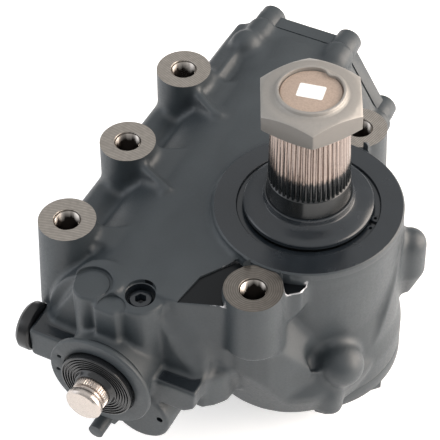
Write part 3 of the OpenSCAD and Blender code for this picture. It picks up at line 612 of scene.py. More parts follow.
def painted_iron():
    # Satin black paint sprayed on sand-cast iron: soft broad highlights, with the sand's grain under the film.
    # The grain, really about 0.4 mm wide, is drawn 1.6 mm wide so that it shows.
    made, tree = material("satin_paint_on_cast_iron")
    paint = tuple(finish_set().paint)
    where = place_on(tree)
    grain = noise(tree, where, 1.6, 3.0)
    cloud = noise(tree, where, 22, 2.0)
    tone = shade(tree, cloud, rgba(paint, 0.82), rgba(paint, 1.22))
    gloss = remap(tree, grain, NOISE_LOW, NOISE_HIGH, 0.42, 0.55)
    skin = relief(tree, grain, 0.22, 0.12, relief(tree, cloud, 0.25, 0.6))
    # painted reflection: up-facing ear tops take the darker smooth-paint colour, standing for the dark housing they
    # mirror, and a lower roughness
    flat = marked(tree, "flat")
    depth = shade(tree, flat, tone, rgba(finish_set().smooth))
    sheen = add(tree, "ShaderNodeMix", {0: flat, 2: gloss, 3: 0.2}).outputs[0]
    film = surface(tree, depth, sheen, normal=skin, index=PAINT_INDEX)
    iron = surface(tree, rgba(linear("#a6a6a8")), 0.34, 0.8, skin)
    speck = noise(tree, where, 11, 5.0, 0.7)
    worn = remap(tree, combine(tree, "MULTIPLY", marked(tree, "bare"), speck), 0.44, 0.5)
    add(tree, "ShaderNodeOutputMaterial", {"Surface": mixed(tree, worn, film, iron)})
    return made


def smooth_paint():
    # The same paint on machined faces and turned pieces: no grain under it, so glossier, and drawn darker as painted
    # shade and painted reflection of the dark surroundings
    made, tree = material("satin_paint_on_machined_iron")
    paint = tuple(finish_set().smooth)
    cloud = noise(tree, place_on(tree), 14, 3.0)
    tone = shade(tree, cloud, rgba(paint, 0.75), rgba(paint, 1.3))
    gloss = remap(tree, cloud, NOISE_LOW, NOISE_HIGH, 0.18, 0.28)
    film = surface(tree, tone, gloss, normal=relief(tree, cloud, 0.12, 0.3), index=PAINT_INDEX)
    add(tree, "ShaderNodeOutputMaterial", {"Surface": film})
    return made


def painted_shade_flat():
    # Black paint on the milled flat, drawn near black as painted shade of the dark it lies in and mirrors, with
    # little sheen
    return moulded("near_black_painted_shade_on_milled_iron", linear("#0b0e11"), 0.3, 9, index=1.3)


def tapped_iron():
    # Freshly cut thread in grey iron: bright near the mouth, with painted shade darkening the deeper turns of the
    # hole
    made, tree = material("tapped_cast_iron")
    where = place_on(tree)
    drawn = add(tree, "ShaderNodeVectorMath", {0: where, 1: (1.0, 1.0, 0.12)}, operation="MULTIPLY").outputs[0]
    level = combine(tree, "MULTIPLY_ADD", noise(tree, drawn, 7, 2.0), 30 * MM, height_of(tree, where))
    # painted shade: the thread darkens with depth, a little unevenly, standing for the shade inside the hole
    painted_light_near_mouth = remap(tree, level, 5 * MM, 16 * MM)
    tone = shade(tree, painted_light_near_mouth, rgba(linear("#171412")), rgba(linear("#bdb6af")))
    add(tree, "ShaderNodeOutputMaterial", {"Surface": surface(tree, tone, 0.3, 1.0)})
    return made


def milled_iron():
    # Face-milled grey cast iron: bare metal with arcs left by the cutter, drawn darker and ringed on the front boss.
    # The arcs, really about 0.4 mm apart, are drawn 1.6 mm apart so that they show.
    made, tree = material("milled_cast_iron")
    base = tuple(finish_set().iron)
    wave = {
        "Vector": marked(tree, "from_cutter", "Vector"),
        "Scale": per_mm(1.6) * WAVE_WIDTH,
        "Distortion": 0.8,
        "Detail": 2.0,
        "Detail Scale": 40.0,
    }
    arcs = add(tree, "ShaderNodeTexWave", wave, wave_type="RINGS", rings_direction="Z").outputs["Fac"]
    marks = combine(tree, "MULTIPLY", arcs, noise(tree, place_on(tree), 4, 5.0))
    fresh = shade(tree, marks, rgba(base, 0.66), rgba(base, 1.6))
    darker_boss_tone = shade(tree, marks, rgba(base, 0.36), rgba(base, 0.85))
    # the front boss is drawn in the darker tone
    tone = shade(tree, marked(tree, "darker_front_boss"), fresh, darker_boss_tone)
    gloss = remap(tree, arcs, 0.0, 1.0, 0.36, 0.5)
    metal = surface(tree, tone, gloss, 0.85, relief(tree, arcs, 0.25, 0.06))
    add(tree, "ShaderNodeOutputMaterial", {"Surface": metal})
    return made


def worked_steel(name, base, rough, grain, metallic=1.0, spread=0.1):
    """Bare steel whose tone and gloss vary over a grain of the given size in millimetres."""
    made, tree = material(name)
    cloud = noise(tree, place_on(tree), grain, 5.0, 0.6)
    tone = shade(tree, cloud, rgba(base, 1 - 1.5 * spread), rgba(base, 1 + spread))
    gloss = remap(tree, cloud, NOISE_LOW, NOISE_HIGH, rough - 0.06, rough + 0.08)
    metal = surface(tree, tone, gloss, metallic, relief(tree, cloud, 0.15, 0.08))
    add(tree, "ShaderNodeOutputMaterial", {"Surface": metal})
    return made


def phosphated_steel():
    # Turned steel with a thin phosphate coat: pale, even and only a little shiny
    return worked_steel("phosphated_steel", tuple(finish_set().nut), 0.46, 2.5, metallic=0.4)


def painted_shade_nut_sides():
    # The hexagon's flats in the same coat, drawn darker than the turned faces as painted shade on the sides
    return worked_steel("phosphated_steel_shaded_sides", [0.58 * c for c in finish_set().nut], 0.5, 2.5, metallic=0.3)


def ground_steel():
    # Ground and polished steel: bright, with a faint cloudiness
    return worked_steel("ground_steel", tuple(finish_set().steel), 0.26, 3)


def hardened_steel():
    # Case-hardened and ground gear steel inside the case: grey, oiled
    return worked_steel("hardened_gear_steel", linear("#8e9194"), 0.28, 4)


def bearing_metal():
    # Lead-bronze bearing shell: dull golden grey
    return worked_steel("bearing_bronze", linear("#a08a63"), 0.4, 2)


def oxidised_end():
    # Saw-cut and faced end of a forged shaft under a thin brown oxide: matt and mottled
    return worked_steel("oxidised_forging", tuple(finish_set().shaft_end), 0.55, 1.4, metallic=0.35, spread=0.25)


def half_painted_steel():
    # Rolled serrations, bare where the drop arm fits and sprayed black below, the black drawn darker than the
    # casting's paint as painted shade
    made, tree = material("serrated_steel_part_painted")
    where = place_on(tree)
    cloud = noise(tree, where, 3, 4.0)
    base = tuple(finish_set().serration)
    steel = surface(tree, shade(tree, cloud, rgba(base, 0.8), rgba(base, 1.15)), 0.24, 0.9)
    # real black paint, darkened to a fifth of the casting's paint as painted shade and painted reflection
    film = surface(tree, rgba(finish_set().paint, 0.2), 0.2, index=PAINT_INDEX)
    ragged = combine(tree, "MULTIPLY_ADD", cloud, 7 * MM, height_of(tree, where))
    bare = remap(tree, ragged, (PAINT_LINE + 2) * MM, (PAINT_LINE + 6) * MM)
    add(tree, "ShaderNodeOutputMaterial", {"Surface": mixed(tree, bare, film, steel)})
    return made


def moulded(name, base, rough, grain, index=1.5):
    """A moulded or brushed-on polymer with a fine skin of the given grain in millimetres."""
    made, tree = material(name)
    cloud = noise(tree, place_on(tree), grain, 3.0)
    tone = shade(tree, cloud, rgba(base, 0.85), rgba(base, 1.15))
    skin = surface(tree, tone, rough, normal=relief(tree, cloud, 0.2, 0.05), index=index)
    add(tree, "ShaderNodeOutputMaterial", {"Surface": skin})
    return made


def nitrile_rubber():
    # Moulded nitrile rubber: near black, with a waxy sheen on the ribs
    return moulded("nitrile_rubber", tuple(finish_set().rubber), 0.2, 1.2)


def polyethylene():
    # Injection-moulded transport cap: black and smooth
    return moulded("black_polyethylene", linear("#101113"), 0.3, 2.5)


def ptfe():
    # Filled sealing rings: dark bronze, waxy
    return moulded("bronze_filled_ptfe", linear("#4a4136"), 0.45, 1.5)


def label_paper():
    # Coated label stock: plain white, matt
    return moulded("coated_label_paper", linear("#f0efec"), 0.6, 1.0)


MADE = {}


def finish(maker):
    """One shared material for each finish."""
    if maker not in MADE:
        MADE[maker] = maker()
    return MADE[maker]


# Pieces


def around(circle, count, step=None, start=0):
    """Points on a circle in millimetres."""
    step = 360 / count if step is None else step
    angles = [math.radians(start + step * k) for k in range(count)]
    return [(circle * math.cos(a), circle * math.sin(a)) for a in angles]


def end_screws():
    return [(PISTON_X + x, PISTON_Z + z) for x, z in around(END_SCREW_CIRCLE, END_SCREWS)]


def side_bolts():
    places = around(SIDE_BOLT_CIRCLE, SIDE_BOLTS, SIDE_BOLT_STEP, SIDE_BOLT_START)
    return [(SECTOR_X + x, y) for x, y in places]


def casting_stock(bm):
    """Metal left on the raw casting for the machining, with the corner and the ribs cast on it."""
    foot = -THREAD_DEPTH - STOCK
    boss = [(0, foot), (BOSS_R - 4, foot), (BOSS_R, -5), (BOSS_R, STOCK), (0, STOCK)]
    for x, y in BOSSES:
        lathe(bm, boss, (x, y, 0))
    hub = [
        (0, -150), (COVER_R - 1, -150), (COVER_R - 1, -130), (CHAMBER_R + 6, -125), (CHAMBER_R + 6, -60),
        (HUB_R - 8, -40), (HUB_R - 1, -20), (HUB_R, -8), (HUB_R, 9), (0, 9),
    ]
    lathe(bm, hub, SECTOR_AXIS)
    barrel = [(0, -158), (NECK_R, -158), (NECK_R, -118), (BARREL_R, -113), (BARREL_R, 170), (0, 170)]
    lathe(bm, barrel, PISTON_AXIS, "Y")
    rod(bm, BARREL_R, END_PLANE - 20, END_PLANE + STOCK, PISTON_AXIS, "Y")
    for x, z in end_screws():
        rod(bm, 8, END_PLANE - 30, END_PLANE + STOCK, (x, 0, z), "Y")
    for x, y in side_bolts():
        rod(bm, 7.5, COVER_PLANE - STOCK, -112, (x, y, 0))
    prism(bm, EAR_CORNER, PISTON_Z - 37, PISTON_Z - 4)
    for first, last in BOSS_RIBS:
        along = (Vector(last) - Vector(first)).normalized()
        side = Vector((-along.y, along.x)) * RIB_HALF
        tip = side * 0.7
        corners = [Vector(first) + side, Vector(first) - side, Vector(last) - tip, Vector(last) + tip]
        prism(bm, [tuple(corner) for corner in corners], -30, -5.5)
    rod(bm, 12.5, -24, 0.2, SOCKET)
    rod(bm, 14, -6, 0.2, PAD)
    rod(bm, 11, -1, 28, PORT, "X")
    rod(bm, 8, -1, 26, LIMITER, "Y")


def shaft_bores(bm):
    """Hub face with its broken edge, seal and bearing bores, gear chamber and side cover seat."""
    clear = HUB_R + 2.5
    groove_top, groove_r = SEAL_TOP + RING_GROOVE, SEAL_BORE_R + 1
    seat_r = COVER_R + 1.2
    profile = [
        (0, CUT_TOP), (clear, CUT_TOP), (clear, 0.7), (HUB_R + 0.3, 0.7), (HUB_R - 1.1, HUB_TOP),
        (SEAL_BORE_R + 0.5, HUB_TOP), (SEAL_BORE_R, HUB_TOP - 0.5), (SEAL_BORE_R, groove_top),
        (groove_r, groove_top), (groove_r, SEAL_TOP), (SEAL_BORE_R, SEAL_TOP), (SEAL_BORE_R, SEAL_FLOOR),
        (BEARING_R, SEAL_FLOOR), (BEARING_R, BEARING_BOTTOM), (CHAMBER_R, BEARING_BOTTOM),
        (CHAMBER_R, COVER_PLANE), (seat_r, COVER_PLANE), (seat_r, CUT_END), (0, CUT_END),
    ]
    lathe(bm, profile, SECTOR_AXIS, steps=160)


def piston_bores(bm):
    """End cover joint, piston bore, valve bore and the face of the valve neck."""
    clear, past_end = 110, END_PLANE + 20
    neck_r = NECK_R + 1.5
    profile = [
        (0, past_end), (clear, past_end), (clear, END_PLANE), (BORE_R, END_PLANE), (BORE_R, BORE_END),
        (VALVE_BORE_R, BORE_END), (VALVE_BORE_R, NECK_END), (neck_r, NECK_END), (neck_r, CUT_END), (0, CUT_END),
    ]
    lathe(bm, profile, PISTON_AXIS, "Y", steps=128)


def small_machining(bm):
    """Boss faces with their tapped holes, cover holes, plug seats and the small hole of the valve end."""
    face_r = BOSS_R + 0.7
    hole = [
        (0, CUT_TOP), (face_r, CUT_TOP), (face_r, 0), (THREAD_ROOT_R + 0.4, 0), (THREAD_ROOT_R, -0.5),
        (THREAD_ROOT_R, THREAD_END), (THREAD_MINOR_R, THREAD_END - 0.6), (THREAD_MINOR_R, -THREAD_DEPTH),
        (0, -THREAD_DEPTH - 4),
    ]
    for x, y in BOSSES:
        lathe(bm, hole, (x, y, 0), steps=64)
    for x, z in end_screws():
        rod(bm, 6, END_PLANE - 26, END_PLANE + 1, (x, 0, z), "Y", 32)
    for x, y in side_bolts():
        rod(bm, 5, COVER_PLANE - 1, -114, (x, y, 0), steps=32)
    socket = [(0, -21), (8.5, -21), (8.5, -8), (11, -8), (11, -0.6), (11.6, 0), (11.6, 6), (0, 6)]
    lathe(bm, socket, SOCKET, steps=64)
    lathe(bm, [(0, -3), (PLUG_R, -3), (PLUG_R, 0), (15.2, 0), (15.2, 12), (0, 12)], PAD, steps=64)
    rod(bm, 10.5, 0, 12, SECOND_PAD, steps=64)
    rod(bm, 2.6, -5, 9, LOBE_HOLE, "Y", 32)
    lathe(bm, [(0, -30), (19.2, -30), (19.2, 0), (9, 0), (9, 25), (0, 25)], PORT, "X", 64)
    lathe(bm, [(0, -20), (12.1, -20), (12.1, 0), (6, 0), (6, 24), (0, 24)], LIMITER, "Y", 32)


def filleted(name, fillet):
    """The raw casting with fillets of one radius grown into its inner corners."""
    sizes = casting_set()
    bm = welded("housing")
    casting_stock(bm)
    obj = new_object(name, mesh_of(name, bm))
    regrid(obj, sizes.grid)
    cut(obj, flank())
    cut(obj, knob(), "UNION")
    cut(obj, skirt_fill(), "UNION")
    regrid(obj, sizes.grid)
    swell(obj, fillet)
    regrid(obj, sizes.grid)
    swell(obj, -fillet)
    return obj


def block(low, high):
    """Cutter between two corners in millimetres."""
    (x0, y0, z0), (x1, y1, z1) = low, high
    return cutter(lambda bm: prism(bm, [(x0, y0), (x1, y0), (x1, y1), (x0, y1)], z0, z1))


def flank():
    """Cutter that slopes the wall below the front boss down to the knob, clear of the boss and the hub."""
    slope = [(SECTOR_X + a, z) for a, z in SLOPE]
    away = cutter(lambda bm: prism(bm, slope, -130, -42, "Y"))
    cut(away, cutter(lambda bm: rod(bm, POCKET_R, -99, -40, POCKET)), "UNION")
    deep, high = -200, 20
    boss = [(0, deep), (BOSS_R + 2, deep), (BOSS_R + 1, high), (0, high)]
    cut(away, cutter(lambda bm: lathe(bm, boss, FRONT_BOSS + (0,))))
    foot, waist, edge = 75, HUB_R - 3.8, HUB_R + 0.4
    hub = [
        (0, deep), (foot, deep), (foot, -118), (waist, -98), (waist, -74), (edge, -4), (edge, high), (0, high),
    ]
    cut(away, cutter(lambda bm: lathe(bm, hub, SECTOR_AXIS)))
    return away


def knob():
    """Round knob on the wall beside the flank."""
    angles = [math.radians(-90 + 7.5 * k) for k in range(25)]
    ball = [(KNOB_R * math.cos(a), KNOB_R * math.sin(a)) for a in angles]
    return cutter(lambda bm: lathe(bm, ball, KNOB))


def skirt_fill():
    """Metal below the knob that carries the skirt on from the foot of the front wall."""
    fill = cutter(lambda bm: lathe(bm, SKIRT, SKIRT_AXIS))
    cut(fill, block((-FAR, -FAR, -FAR), (SKIRT_LEFT, FAR, FAR)))
    cut(fill, block((-FAR, SKIRT_BACK, -FAR), (FAR, FAR, FAR)))
    return fill


def spot_face():
    """Cutter of the flat round the front boss, clear of the boss and the hub."""
    outline = [(SECTOR_X + x, y) for x, y in SPOT]
    flat = cutter(lambda bm: prism(bm, outline, SPOT_Z, 12))
    cut(flat, cutter(lambda bm: rod(bm, BOSS_R + 0.8, -30, 30, FRONT_BOSS + (0,))))
    cut(flat, cutter(lambda bm: rod(bm, HUB_R + 0.6, -30, 30, SECTOR_AXIS)))
    return flat


def hub_stock(bm):
    """Top of the hub, stood on the casting so that its edge stays round."""
    lathe(bm, [(0, -9), (HUB_R - 2, -9), (HUB_R, -4), (HUB_R, 9), (0, 9)], SECTOR_AXIS, steps=160)


def housing_piece():
    """Cast housing: fillets grown into the inner corners, cast edges rounded, then machined."""
    sizes = casting_set()
    obj = filleted("housing_casting", sizes.fillet)
    cut(obj, block((-FAR, -FAR, -FAR), (VALVE_RIGHT, VALVE_SIDE, FAR)))
    cut(obj, block((VALVE_RIGHT - 1, -FAR, -FAR), (FAR, VALVE_SIDE, EAR_TOP)))
    valve_side = filleted("valve_side", sizes.small_fillet)
    cut(valve_side, block((-FAR, VALVE_SIDE + 1, -FAR), (FAR, FAR, FAR)))
    cut(valve_side, block((VALVE_RIGHT + 1, -FAR, EAR_TOP + 1), (FAR, FAR, FAR)))
    cut(obj, valve_side, "UNION")
    regrid(obj, sizes.grid)
    relax(obj, sizes.passes, VALVE_SIDE)
    melt(obj, SOFT_SPOTS)
    obj.data.materials.clear()
    for maker in (painted_iron, milled_iron, smooth_paint, painted_shade_flat):
        obj.data.materials.append(finish(maker))
    cut(obj, cutter(small_machining))
    cut(obj, spot_face())
    cut(obj, cutter(hub_stock), "UNION")
    cut(obj, cutter(shaft_bores))
    cut(obj, cutter(piston_bores))
    crease(obj.data, math.radians(28), True)
    sort_faces(obj.data)
    mark(obj.data)
    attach(obj, "case")
    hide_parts("housing")


def from_outline(x, y, outline):
    """Distance in millimetres of a point from a closed outline."""
    best = math.inf
    for a, b in zip(outline, outline[1:] + outline[:1]):
        along, to = Vector(b) - Vector(a), Vector((x, y)) - Vector(a)
        t = max(0, min(1, to.dot(along) / along.length_squared))
        best = min(best, (to - along * t).length)
    return best


def mark(mesh):
    """Marks what the finishes follow: worn rim of the flat, ear tops darkened as painted reflection, front boss
    drawn darker, centres of the cutter.
    """
    points = read(mesh) / MM
    x, y, z = points.T
    inside = np.all([(c > low) & (c < high) for c, (low, high) in zip(points.T, RIM_BOX)], axis=0)
    bare = np.zeros(len(points))
    for k in np.flatnonzero(inside):
        fading = min(1, max(FADE_LEAST, (x[k] - SECTOR_X - FADE_START) / FADE_LENGTH))
        bare[k] = fading * max(0, 1 - from_outline(x[k] - SECTOR_X, y[k], SPOT) / RIM)
    # painted reflection: up-facing tops of the ears are marked for the darker colour of the smooth paint
    ears = (y < EAR_FRONT) & (np.abs(z - PISTON_Z) < 8)
    level = np.clip((normals_of(mesh)[:, 2] - 0.9) / 0.08, 0, 1)
    from_front = points - np.array(FRONT_BOSS + (0,))
    front = np.hypot(from_front[:, 0], from_front[:, 1]) < BOSS_R + 2
    for name, values in (("bare", bare), ("flat", np.where(ears, level, 0)), ("darker_front_boss", front.astype(float))):
        mesh.attributes.new(name, "FLOAT", "POINT").data.foreach_set("value", values)
    centred = np.where(front[:, None], from_front, points - np.array(MILL_CENTRE)) * MM
    mesh.attributes.new("from_cutter", "FLOAT_VECTOR", "POINT").data.foreach_set("vector", centred.ravel())


def sort_faces(mesh):
    """Bare iron on the boss faces, near-black painted shade on the flat, smooth paint on other machined faces,
    grainy on the rest.
    """
    on_plane = 0.1
    for polygon in mesh.polygons:
        x, y, z = polygon.center / MM
        near = min(math.hypot(x - bx, y - by) for bx, by in BOSSES)
        if polygon.material_index:
            face = near < BOSS_R + 3 and abs(z) < on_plane
            hole = near < THREAD_MINOR_R + 2.2 and z < on_plane
            wall = math.hypot(x - SECTOR_X, y) > HUB_R - 2 and abs(polygon.normal.z) < 0.8 and z > -12
            pad = y < -110 and z > PAD[2] - 2
            flat = abs(z - SPOT_Z) < 0.3 and x > 0 and near > BOSS_R
            kind = MILLED if face or hole else SHADED_FLAT if flat else CAST if wall or pad else SMOOTH
            polygon.material_index = kind


class GEARBOX_OT_housing(bpy.types.Operator):
    """Casts and machines the housing"""

    bl_idname = "gearbox.housing"
    bl_label = "Housing"

    def execute(self, context):
        housing_piece()
        return {"FINISHED"}


class GEARBOX_OT_threads(bpy.types.Operator):
    """Taps the mounting holes"""

    bl_idname = "gearbox.threads"
    bl_label = "Tapped holes"

    def execute(self, context):
        for k, (x, y) in enumerate(BOSSES):
            tapped_thread(f"mounting_thread_{k + 1}", x, y)
        return {"FINISHED"}


def tapped_thread(name, x, y, length=30, steps=48):
    """Inner thread as a thin skin with its crests at the drilled size."""
    pitch = casting_set().pitch / MM
    rows = int(2 * length / pitch)
    bm = bmesh.new()
    verts = []
    for k in range(rows * steps // 2 + 1):
        turn = k / steps
        a = 2 * math.pi * turn
        for half, radius in ((0, THREAD_MINOR_R), (0.5, THREAD_MINOR_R + THREAD_HEIGHT)):
            z = THREAD_START - pitch * (turn + half)
            verts.append(bm.verts.new(Vector((x + radius * math.cos(a), y + radius * math.sin(a), z)) * MM))
    columns = len(verts) // 2
    for k in range(columns - 1):
        a, b, c, d = verts[2 * k], verts[2 * k + 1], verts[2 * k + 3], verts[2 * k + 2]
        bm.faces.new([a, d, c, b])
        if k + steps + 1 < columns:
            e, f = verts[2 * (k + steps)], verts[2 * (k + steps + 1)]
            bm.faces.new([b, c, f, e])
    obj = new_object(name, mesh_of(name, bm))
    shell = obj.modifiers.new("skin", "SOLIDIFY")
    shell.thickness = 0.2 * MM
    shell.offset = 0
    bake(obj)
    obj.data.materials.append(finish(tapped_iron))
    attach(obj, "case")


class GEARBOX_OT_covers(bpy.types.Operator):
    """Finishes the end cover and the side cover with their fasteners"""

    bl_idname = "gearbox.covers"
    bl_label = "Covers"

    def execute(self, context):
        paint = finish(painted_iron)
        finished("end_cover", "end_cover_cast", paint, 1.2 * MM)
        finished("side_cover", "side_cover_cast", paint, 1.2 * MM)
        finished("end_cover_screws", "end_screws_socket", paint)
        finished("side_cover_bolts", "side_bolts_hexagon", paint, 0.6 * MM)
        finished("adjusting_screw", "adjusting_screw_turned", paint)
        finished("adjusting_nut", "adjusting_nut_hexagon", paint, 0.6 * MM)
        return {"FINISHED"}


class GEARBOX_OT_shaft(bpy.types.Operator):
    """Finishes the drop arm shaft, its nut and the blank label on its end"""

    bl_idname = "gearbox.shaft"
    bl_label = "Drop arm shaft"

    def execute(self, context):
        shaft = finished("sector_shaft", "drop_arm_shaft", finish(half_painted_steel), 0.25 * MM)
        shaft.data.materials.append(finish(oxidised_end))
        for polygon in shaft.data.polygons:
            if polygon.center.z > (SHAFT_TOP - 2) * MM:
                polygon.material_index = 1
        nut = finished("drop_arm_nut", "drop_arm_nut_hexagon", finish(phosphated_steel), 0.5 * MM)
        stake(nut, STAKE_ANGLE, STAKE_DEPTH)
        # painted shade: the side flats of the nut take the darker copy of its finish
        nut.data.materials.append(finish(painted_shade_nut_sides))
        for polygon in nut.data.polygons:
            x, y, _ = polygon.center / MM
            if abs(polygon.normal.z) < 0.3 and math.hypot(x - SECTOR_X, y) > HEXAGON_R:
                polygon.material_index = 1
        blank_label()
        return {"FINISHED"}


def stake(nut, at, depth):
    """Dents the collar of the nut inwards over the end of the shaft, at an angle in degrees."""
    for vertex in nut.data.vertices:
        x, y, z = vertex.co / MM - Vector((SECTOR_X, 0, SHAFT_TOP + 0.2))
        if z > 0:
            off = (math.degrees(math.atan2(y, x)) - at) / STAKE_WIDTH
            push = depth * math.exp(-off * off) / math.hypot(x, y)
            vertex.co -= Vector((x * push, y * push, 0)) * MM


def blank_label():
    """Plain paper label with rounded corners on the end of the shaft."""
    wide = casting_set().label_width / MM
    deep = wide * LABEL_SHAPE
    turn = math.radians(LABEL_TURN)
    placed = []
    for cx, cy, first in ((1, 1, 0), (-1, 1, 90), (-1, -1, 180), (1, -1, 270)):
        for step in range(7):
            a = math.radians(first + 15 * step)
            x = cx * (wide / 2 - LABEL_CORNER) + LABEL_CORNER * math.cos(a)
            y = cy * (deep / 2 - LABEL_CORNER) + LABEL_CORNER * math.sin(a)
            across = SECTOR_X + x * math.cos(turn) - y * math.sin(turn)
            placed.append((across, x * math.sin(turn) + y * math.cos(turn)))
    bm = bmesh.new()
    prism(bm, placed, SHAFT_TOP + 0.02, SHAFT_TOP + 0.2)
    obj = new_object("blank_label", mesh_of("blank_label", bm))
    obj.data.materials.append(finish(label_paper))
    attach(obj, "sector")


class GEARBOX_OT_seals(bpy.types.Operator):
    """Finishes the seal, snap ring and shield round the drop arm shaft"""

    bl_idname = "gearbox.seals"
    bl_label = "Seal and shield"

    def execute(self, context):
        finished("dust_shield", "dust_shield_pressed", finish(smooth_paint), 0.5 * MM)
        finished("seal_snap_ring", "seal_snap_ring_sprung", finish(smooth_paint), 0.3 * MM)
        finished("sector_seal", "sector_seal_lip", finish(nitrile_rubber), 0.3 * MM)
        return {"FINISHED"}


class GEARBOX_OT_input(bpy.types.Operator):
    """Finishes the input shaft, its cover ring and the ribbed dust cover"""

    bl_idname = "gearbox.input"
    bl_label = "Input end"

    def execute(self, context):
        finished("input_cover", "input_cover_ring", finish(painted_iron), 0.5 * MM)
        finished("input_shaft", "input_shaft_ground", finish(ground_steel), 0.25 * MM)
        finished("dust_cover", "dust_cover_ribbed", finish(nitrile_rubber), 0.3 * MM)
        return {"FINISHED"}


class GEARBOX_OT_plugs(bpy.types.Operator):
    """Finishes the plugs, the port cap and the limiter screw of the valve end"""

    bl_idname = "gearbox.plugs"
    bl_label = "Plugs and screws"

    def execute(self, context):
        paint = finish(painted_iron)
        finished("core_plug", "core_plug_pressed", paint, 0.4 * MM)
        finished("socket_plug", "socket_plug_hexagon", finish(smooth_paint), 0.4 * MM)
        finished("port_cap", "port_cap_moulded", finish(polyethylene), 0.8 * MM)
        finished("limiter_screw", "limiter_screw_stud", paint, 0.6 * MM)
        finished("limiter_nut", "limiter_nut_hexagon", paint, 0.6 * MM)
        return {"FINISHED"}


class GEARBOX_OT_inside(bpy.types.Operator):
    """Gives the gear, valve and bearings inside the case their metals"""

    bl_idname = "gearbox.inside"
    bl_label = "Inner pieces"

    def execute(self, context):
        gears = ["piston", "ball_nut", "nut_retainer", "balls", "worm_screw", "valve_sleeve", "torsion_bar"]
        groups = {
            hardened_steel: gears,
            bearing_metal: ["upper_bearing", "lower_bearing", "input_bearing", "worm_bearing"],
            nitrile_rubber: ["end_cover_seal", "side_cover_seal", "input_seal"],
            ptfe: ["piston_ring", "sleeve_rings"],
        }
        for maker, nodes in groups.items():
            for node in nodes:
                mesh = frame["nodes"][node].data
                mesh.materials.clear()
                mesh.materials.append(finish(maker))
        return {"FINISHED"}


class GEARBOX_OT_stage(bpy.types.Operator):
    """Sets the floor, the soft lights and the camera"""

    bl_idname = "gearbox.stage"
    bl_label = "Stage"

    def execute(self, context):
        context.scene.view_settings.view_transform = "Standard"
        floor()
        world()
        values = stage_set()
        soft_light("key_light", (-1200, -700, 500), 1.1, values.key, "#f4f8ff")
        soft_light("fill_light", (1350, 680, 300), 1.8, values.fill, "#fff2e6")
        camera()
        return {"FINISHED"}


def floor():
    """Wide pale floor under the lowest point of the gearbox."""
    bm = bmesh.new()
    bmesh.ops.create_grid(bm, x_segments=2, y_segments=2, size=6)
    obj = new_object("floor", mesh_of("floor", bm))
    obj.location.z = FLOOR_Z - 0.5 * MM
    # Matt paper sweep: pale, and white where the camera sees it beyond the shadow
    made, tree = material("matt_paper_sweep")
    path = add(tree, "ShaderNodeLightPath")
    seen = combine(tree, "ADD", path.outputs["Is Camera Ray"], path.outputs["Is Glossy Ray"])
    sheet = {
        "Base Color": rgba(stage_set().floor),
        "Roughness": 0.9,
        "Emission Color": WHITE,
        "Emission Strength": combine(tree, "MULTIPLY", seen, 0.5),
    }
    paper = add(tree, "ShaderNodeBsdfPrincipled", sheet)
    add(tree, "ShaderNodeOutputMaterial", {"Surface": paper.outputs[0]})
    obj.data.materials.append(made)


def world():
    """Soft room: bright overhead and on the right, dimmer round the horizon."""
    made = bpy.data.worlds.new("studio")
    made.use_nodes = True
    tree = made.node_tree
    tree.nodes.clear()
    where = add(tree, "ShaderNodeTexCoord").outputs["Generated"]
    across = add(tree, "ShaderNodeSeparateXYZ", {0: where}).outputs["X"]
    overhead = remap(tree, height_of(tree, where), 0.2, 0.75, 0.36, 1.0)
    window = remap(tree, across, 0.2, 0.8, 0.0, 0.75)
    glow = combine(tree, "MAXIMUM", overhead, window)
    seen = add(tree, "ShaderNodeLightPath").outputs["Is Camera Ray"]
    room = add(tree, "ShaderNodeBackground", {"Color": WHITE, "Strength": glow}).outputs[0]
    plain = add(tree, "ShaderNodeBackground", {"Color": WHITE, "Strength": 1.0}).outputs[0]
    add(tree, "ShaderNodeOutputWorld", {"Surface": mixed(tree, seen, room, plain)})
    bpy.context.scene.world = made


def soft_light(name, place, size, power, tint):
    """Square soft light aimed at the gearbox, its place in millimetres."""
    lamp = bpy.data.lights.new(name, "AREA")
    lamp.size = size
    lamp.energy = power
    lamp.color = linear(tint)
    obj = bpy.data.objects.new(name, lamp)
    bpy.context.scene.collection.objects.link(obj)
    obj.location = Vector(place) * MM
    aim = (Vector(LIGHT_AIM) - Vector(place)) * MM
    obj.rotation_euler = aim.to_track_quat("-Z", "Y").to_euler()


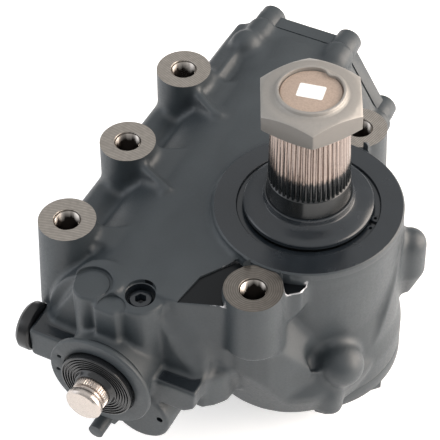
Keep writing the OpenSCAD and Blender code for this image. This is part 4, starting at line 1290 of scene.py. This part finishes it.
def camera():
    """Camera at the viewing angle of the photograph."""
    azimuth, elevation, roll = (math.radians(a) for a in CAMERA_ANGLES)
    level = math.cos(elevation)
    back = Vector((math.sin(azimuth) * level, -math.cos(azimuth) * level, math.sin(elevation)))
    right = Vector((math.cos(azimuth), math.sin(azimuth), 0))
    up = back.cross(right)
    across = right * math.cos(roll) + up * math.sin(roll)
    upward = up * math.cos(roll) - right * math.sin(roll)
    data = bpy.data.cameras.new("camera")
    data.sensor_width = 36
    data.lens = stage_set().lens
    data.clip_start, data.clip_end = 0.05, 20
    obj = bpy.data.objects.new("camera", data)
    bpy.context.scene.collection.objects.link(obj)
    turn = Matrix((across, upward, back)).transposed().to_4x4()
    obj.matrix_world = Matrix.Translation(Vector(CAMERA_PLACE) * MM) @ turn
    bpy.context.scene.camera = obj


class GEARBOX_PT_panel(bpy.types.Panel):
    """Lists the steps that build the gearbox"""

    bl_idname = "GEARBOX_PT_panel"
    bl_label = "Steering gearbox"
    bl_space_type = "VIEW_3D"
    bl_region_type = "UI"
    bl_category = "Gearbox"

    def draw(self, context):
        for group in (casting_set(), finish_set(), stage_set()):
            for key in group.bl_rna.properties.keys():
                if key not in {"rna_type", "name"}:
                    self.layout.prop(group, key)
        for step in STEPS:
            self.layout.operator(step.bl_idname)


STEPS = (
    GEARBOX_OT_housing,
    GEARBOX_OT_threads,
    GEARBOX_OT_covers,
    GEARBOX_OT_shaft,
    GEARBOX_OT_seals,
    GEARBOX_OT_input,
    GEARBOX_OT_plugs,
    GEARBOX_OT_inside,
    GEARBOX_OT_stage,
)
GROUPS = {
    "gearbox_casting": GearboxCasting,
    "gearbox_finish": GearboxFinish,
    "gearbox_stage": GearboxStage,
}


def register():
    for group in GROUPS.values():
        bpy.utils.register_class(group)
    for step in STEPS:
        bpy.utils.register_class(step)
    bpy.utils.register_class(GEARBOX_PT_panel)
    for key, group in GROUPS.items():
        setattr(bpy.types.Scene, key, PointerProperty(type=group))


def unregister():
    for key in GROUPS:
        delattr(bpy.types.Scene, key)
    bpy.utils.unregister_class(GEARBOX_PT_panel)
    for step in reversed(STEPS):
        bpy.utils.unregister_class(step)
    for group in reversed(GROUPS.values()):
        bpy.utils.unregister_class(group)


def main():
    register()
    bpy.ops.gearbox.housing()
    bpy.ops.gearbox.threads()
    bpy.ops.gearbox.covers()
    bpy.ops.gearbox.shaft()
    bpy.ops.gearbox.seals()
    bpy.ops.gearbox.input()
    bpy.ops.gearbox.plugs()
    bpy.ops.gearbox.inside()
    bpy.ops.gearbox.stage()


if __name__ == "__main__":
    main()
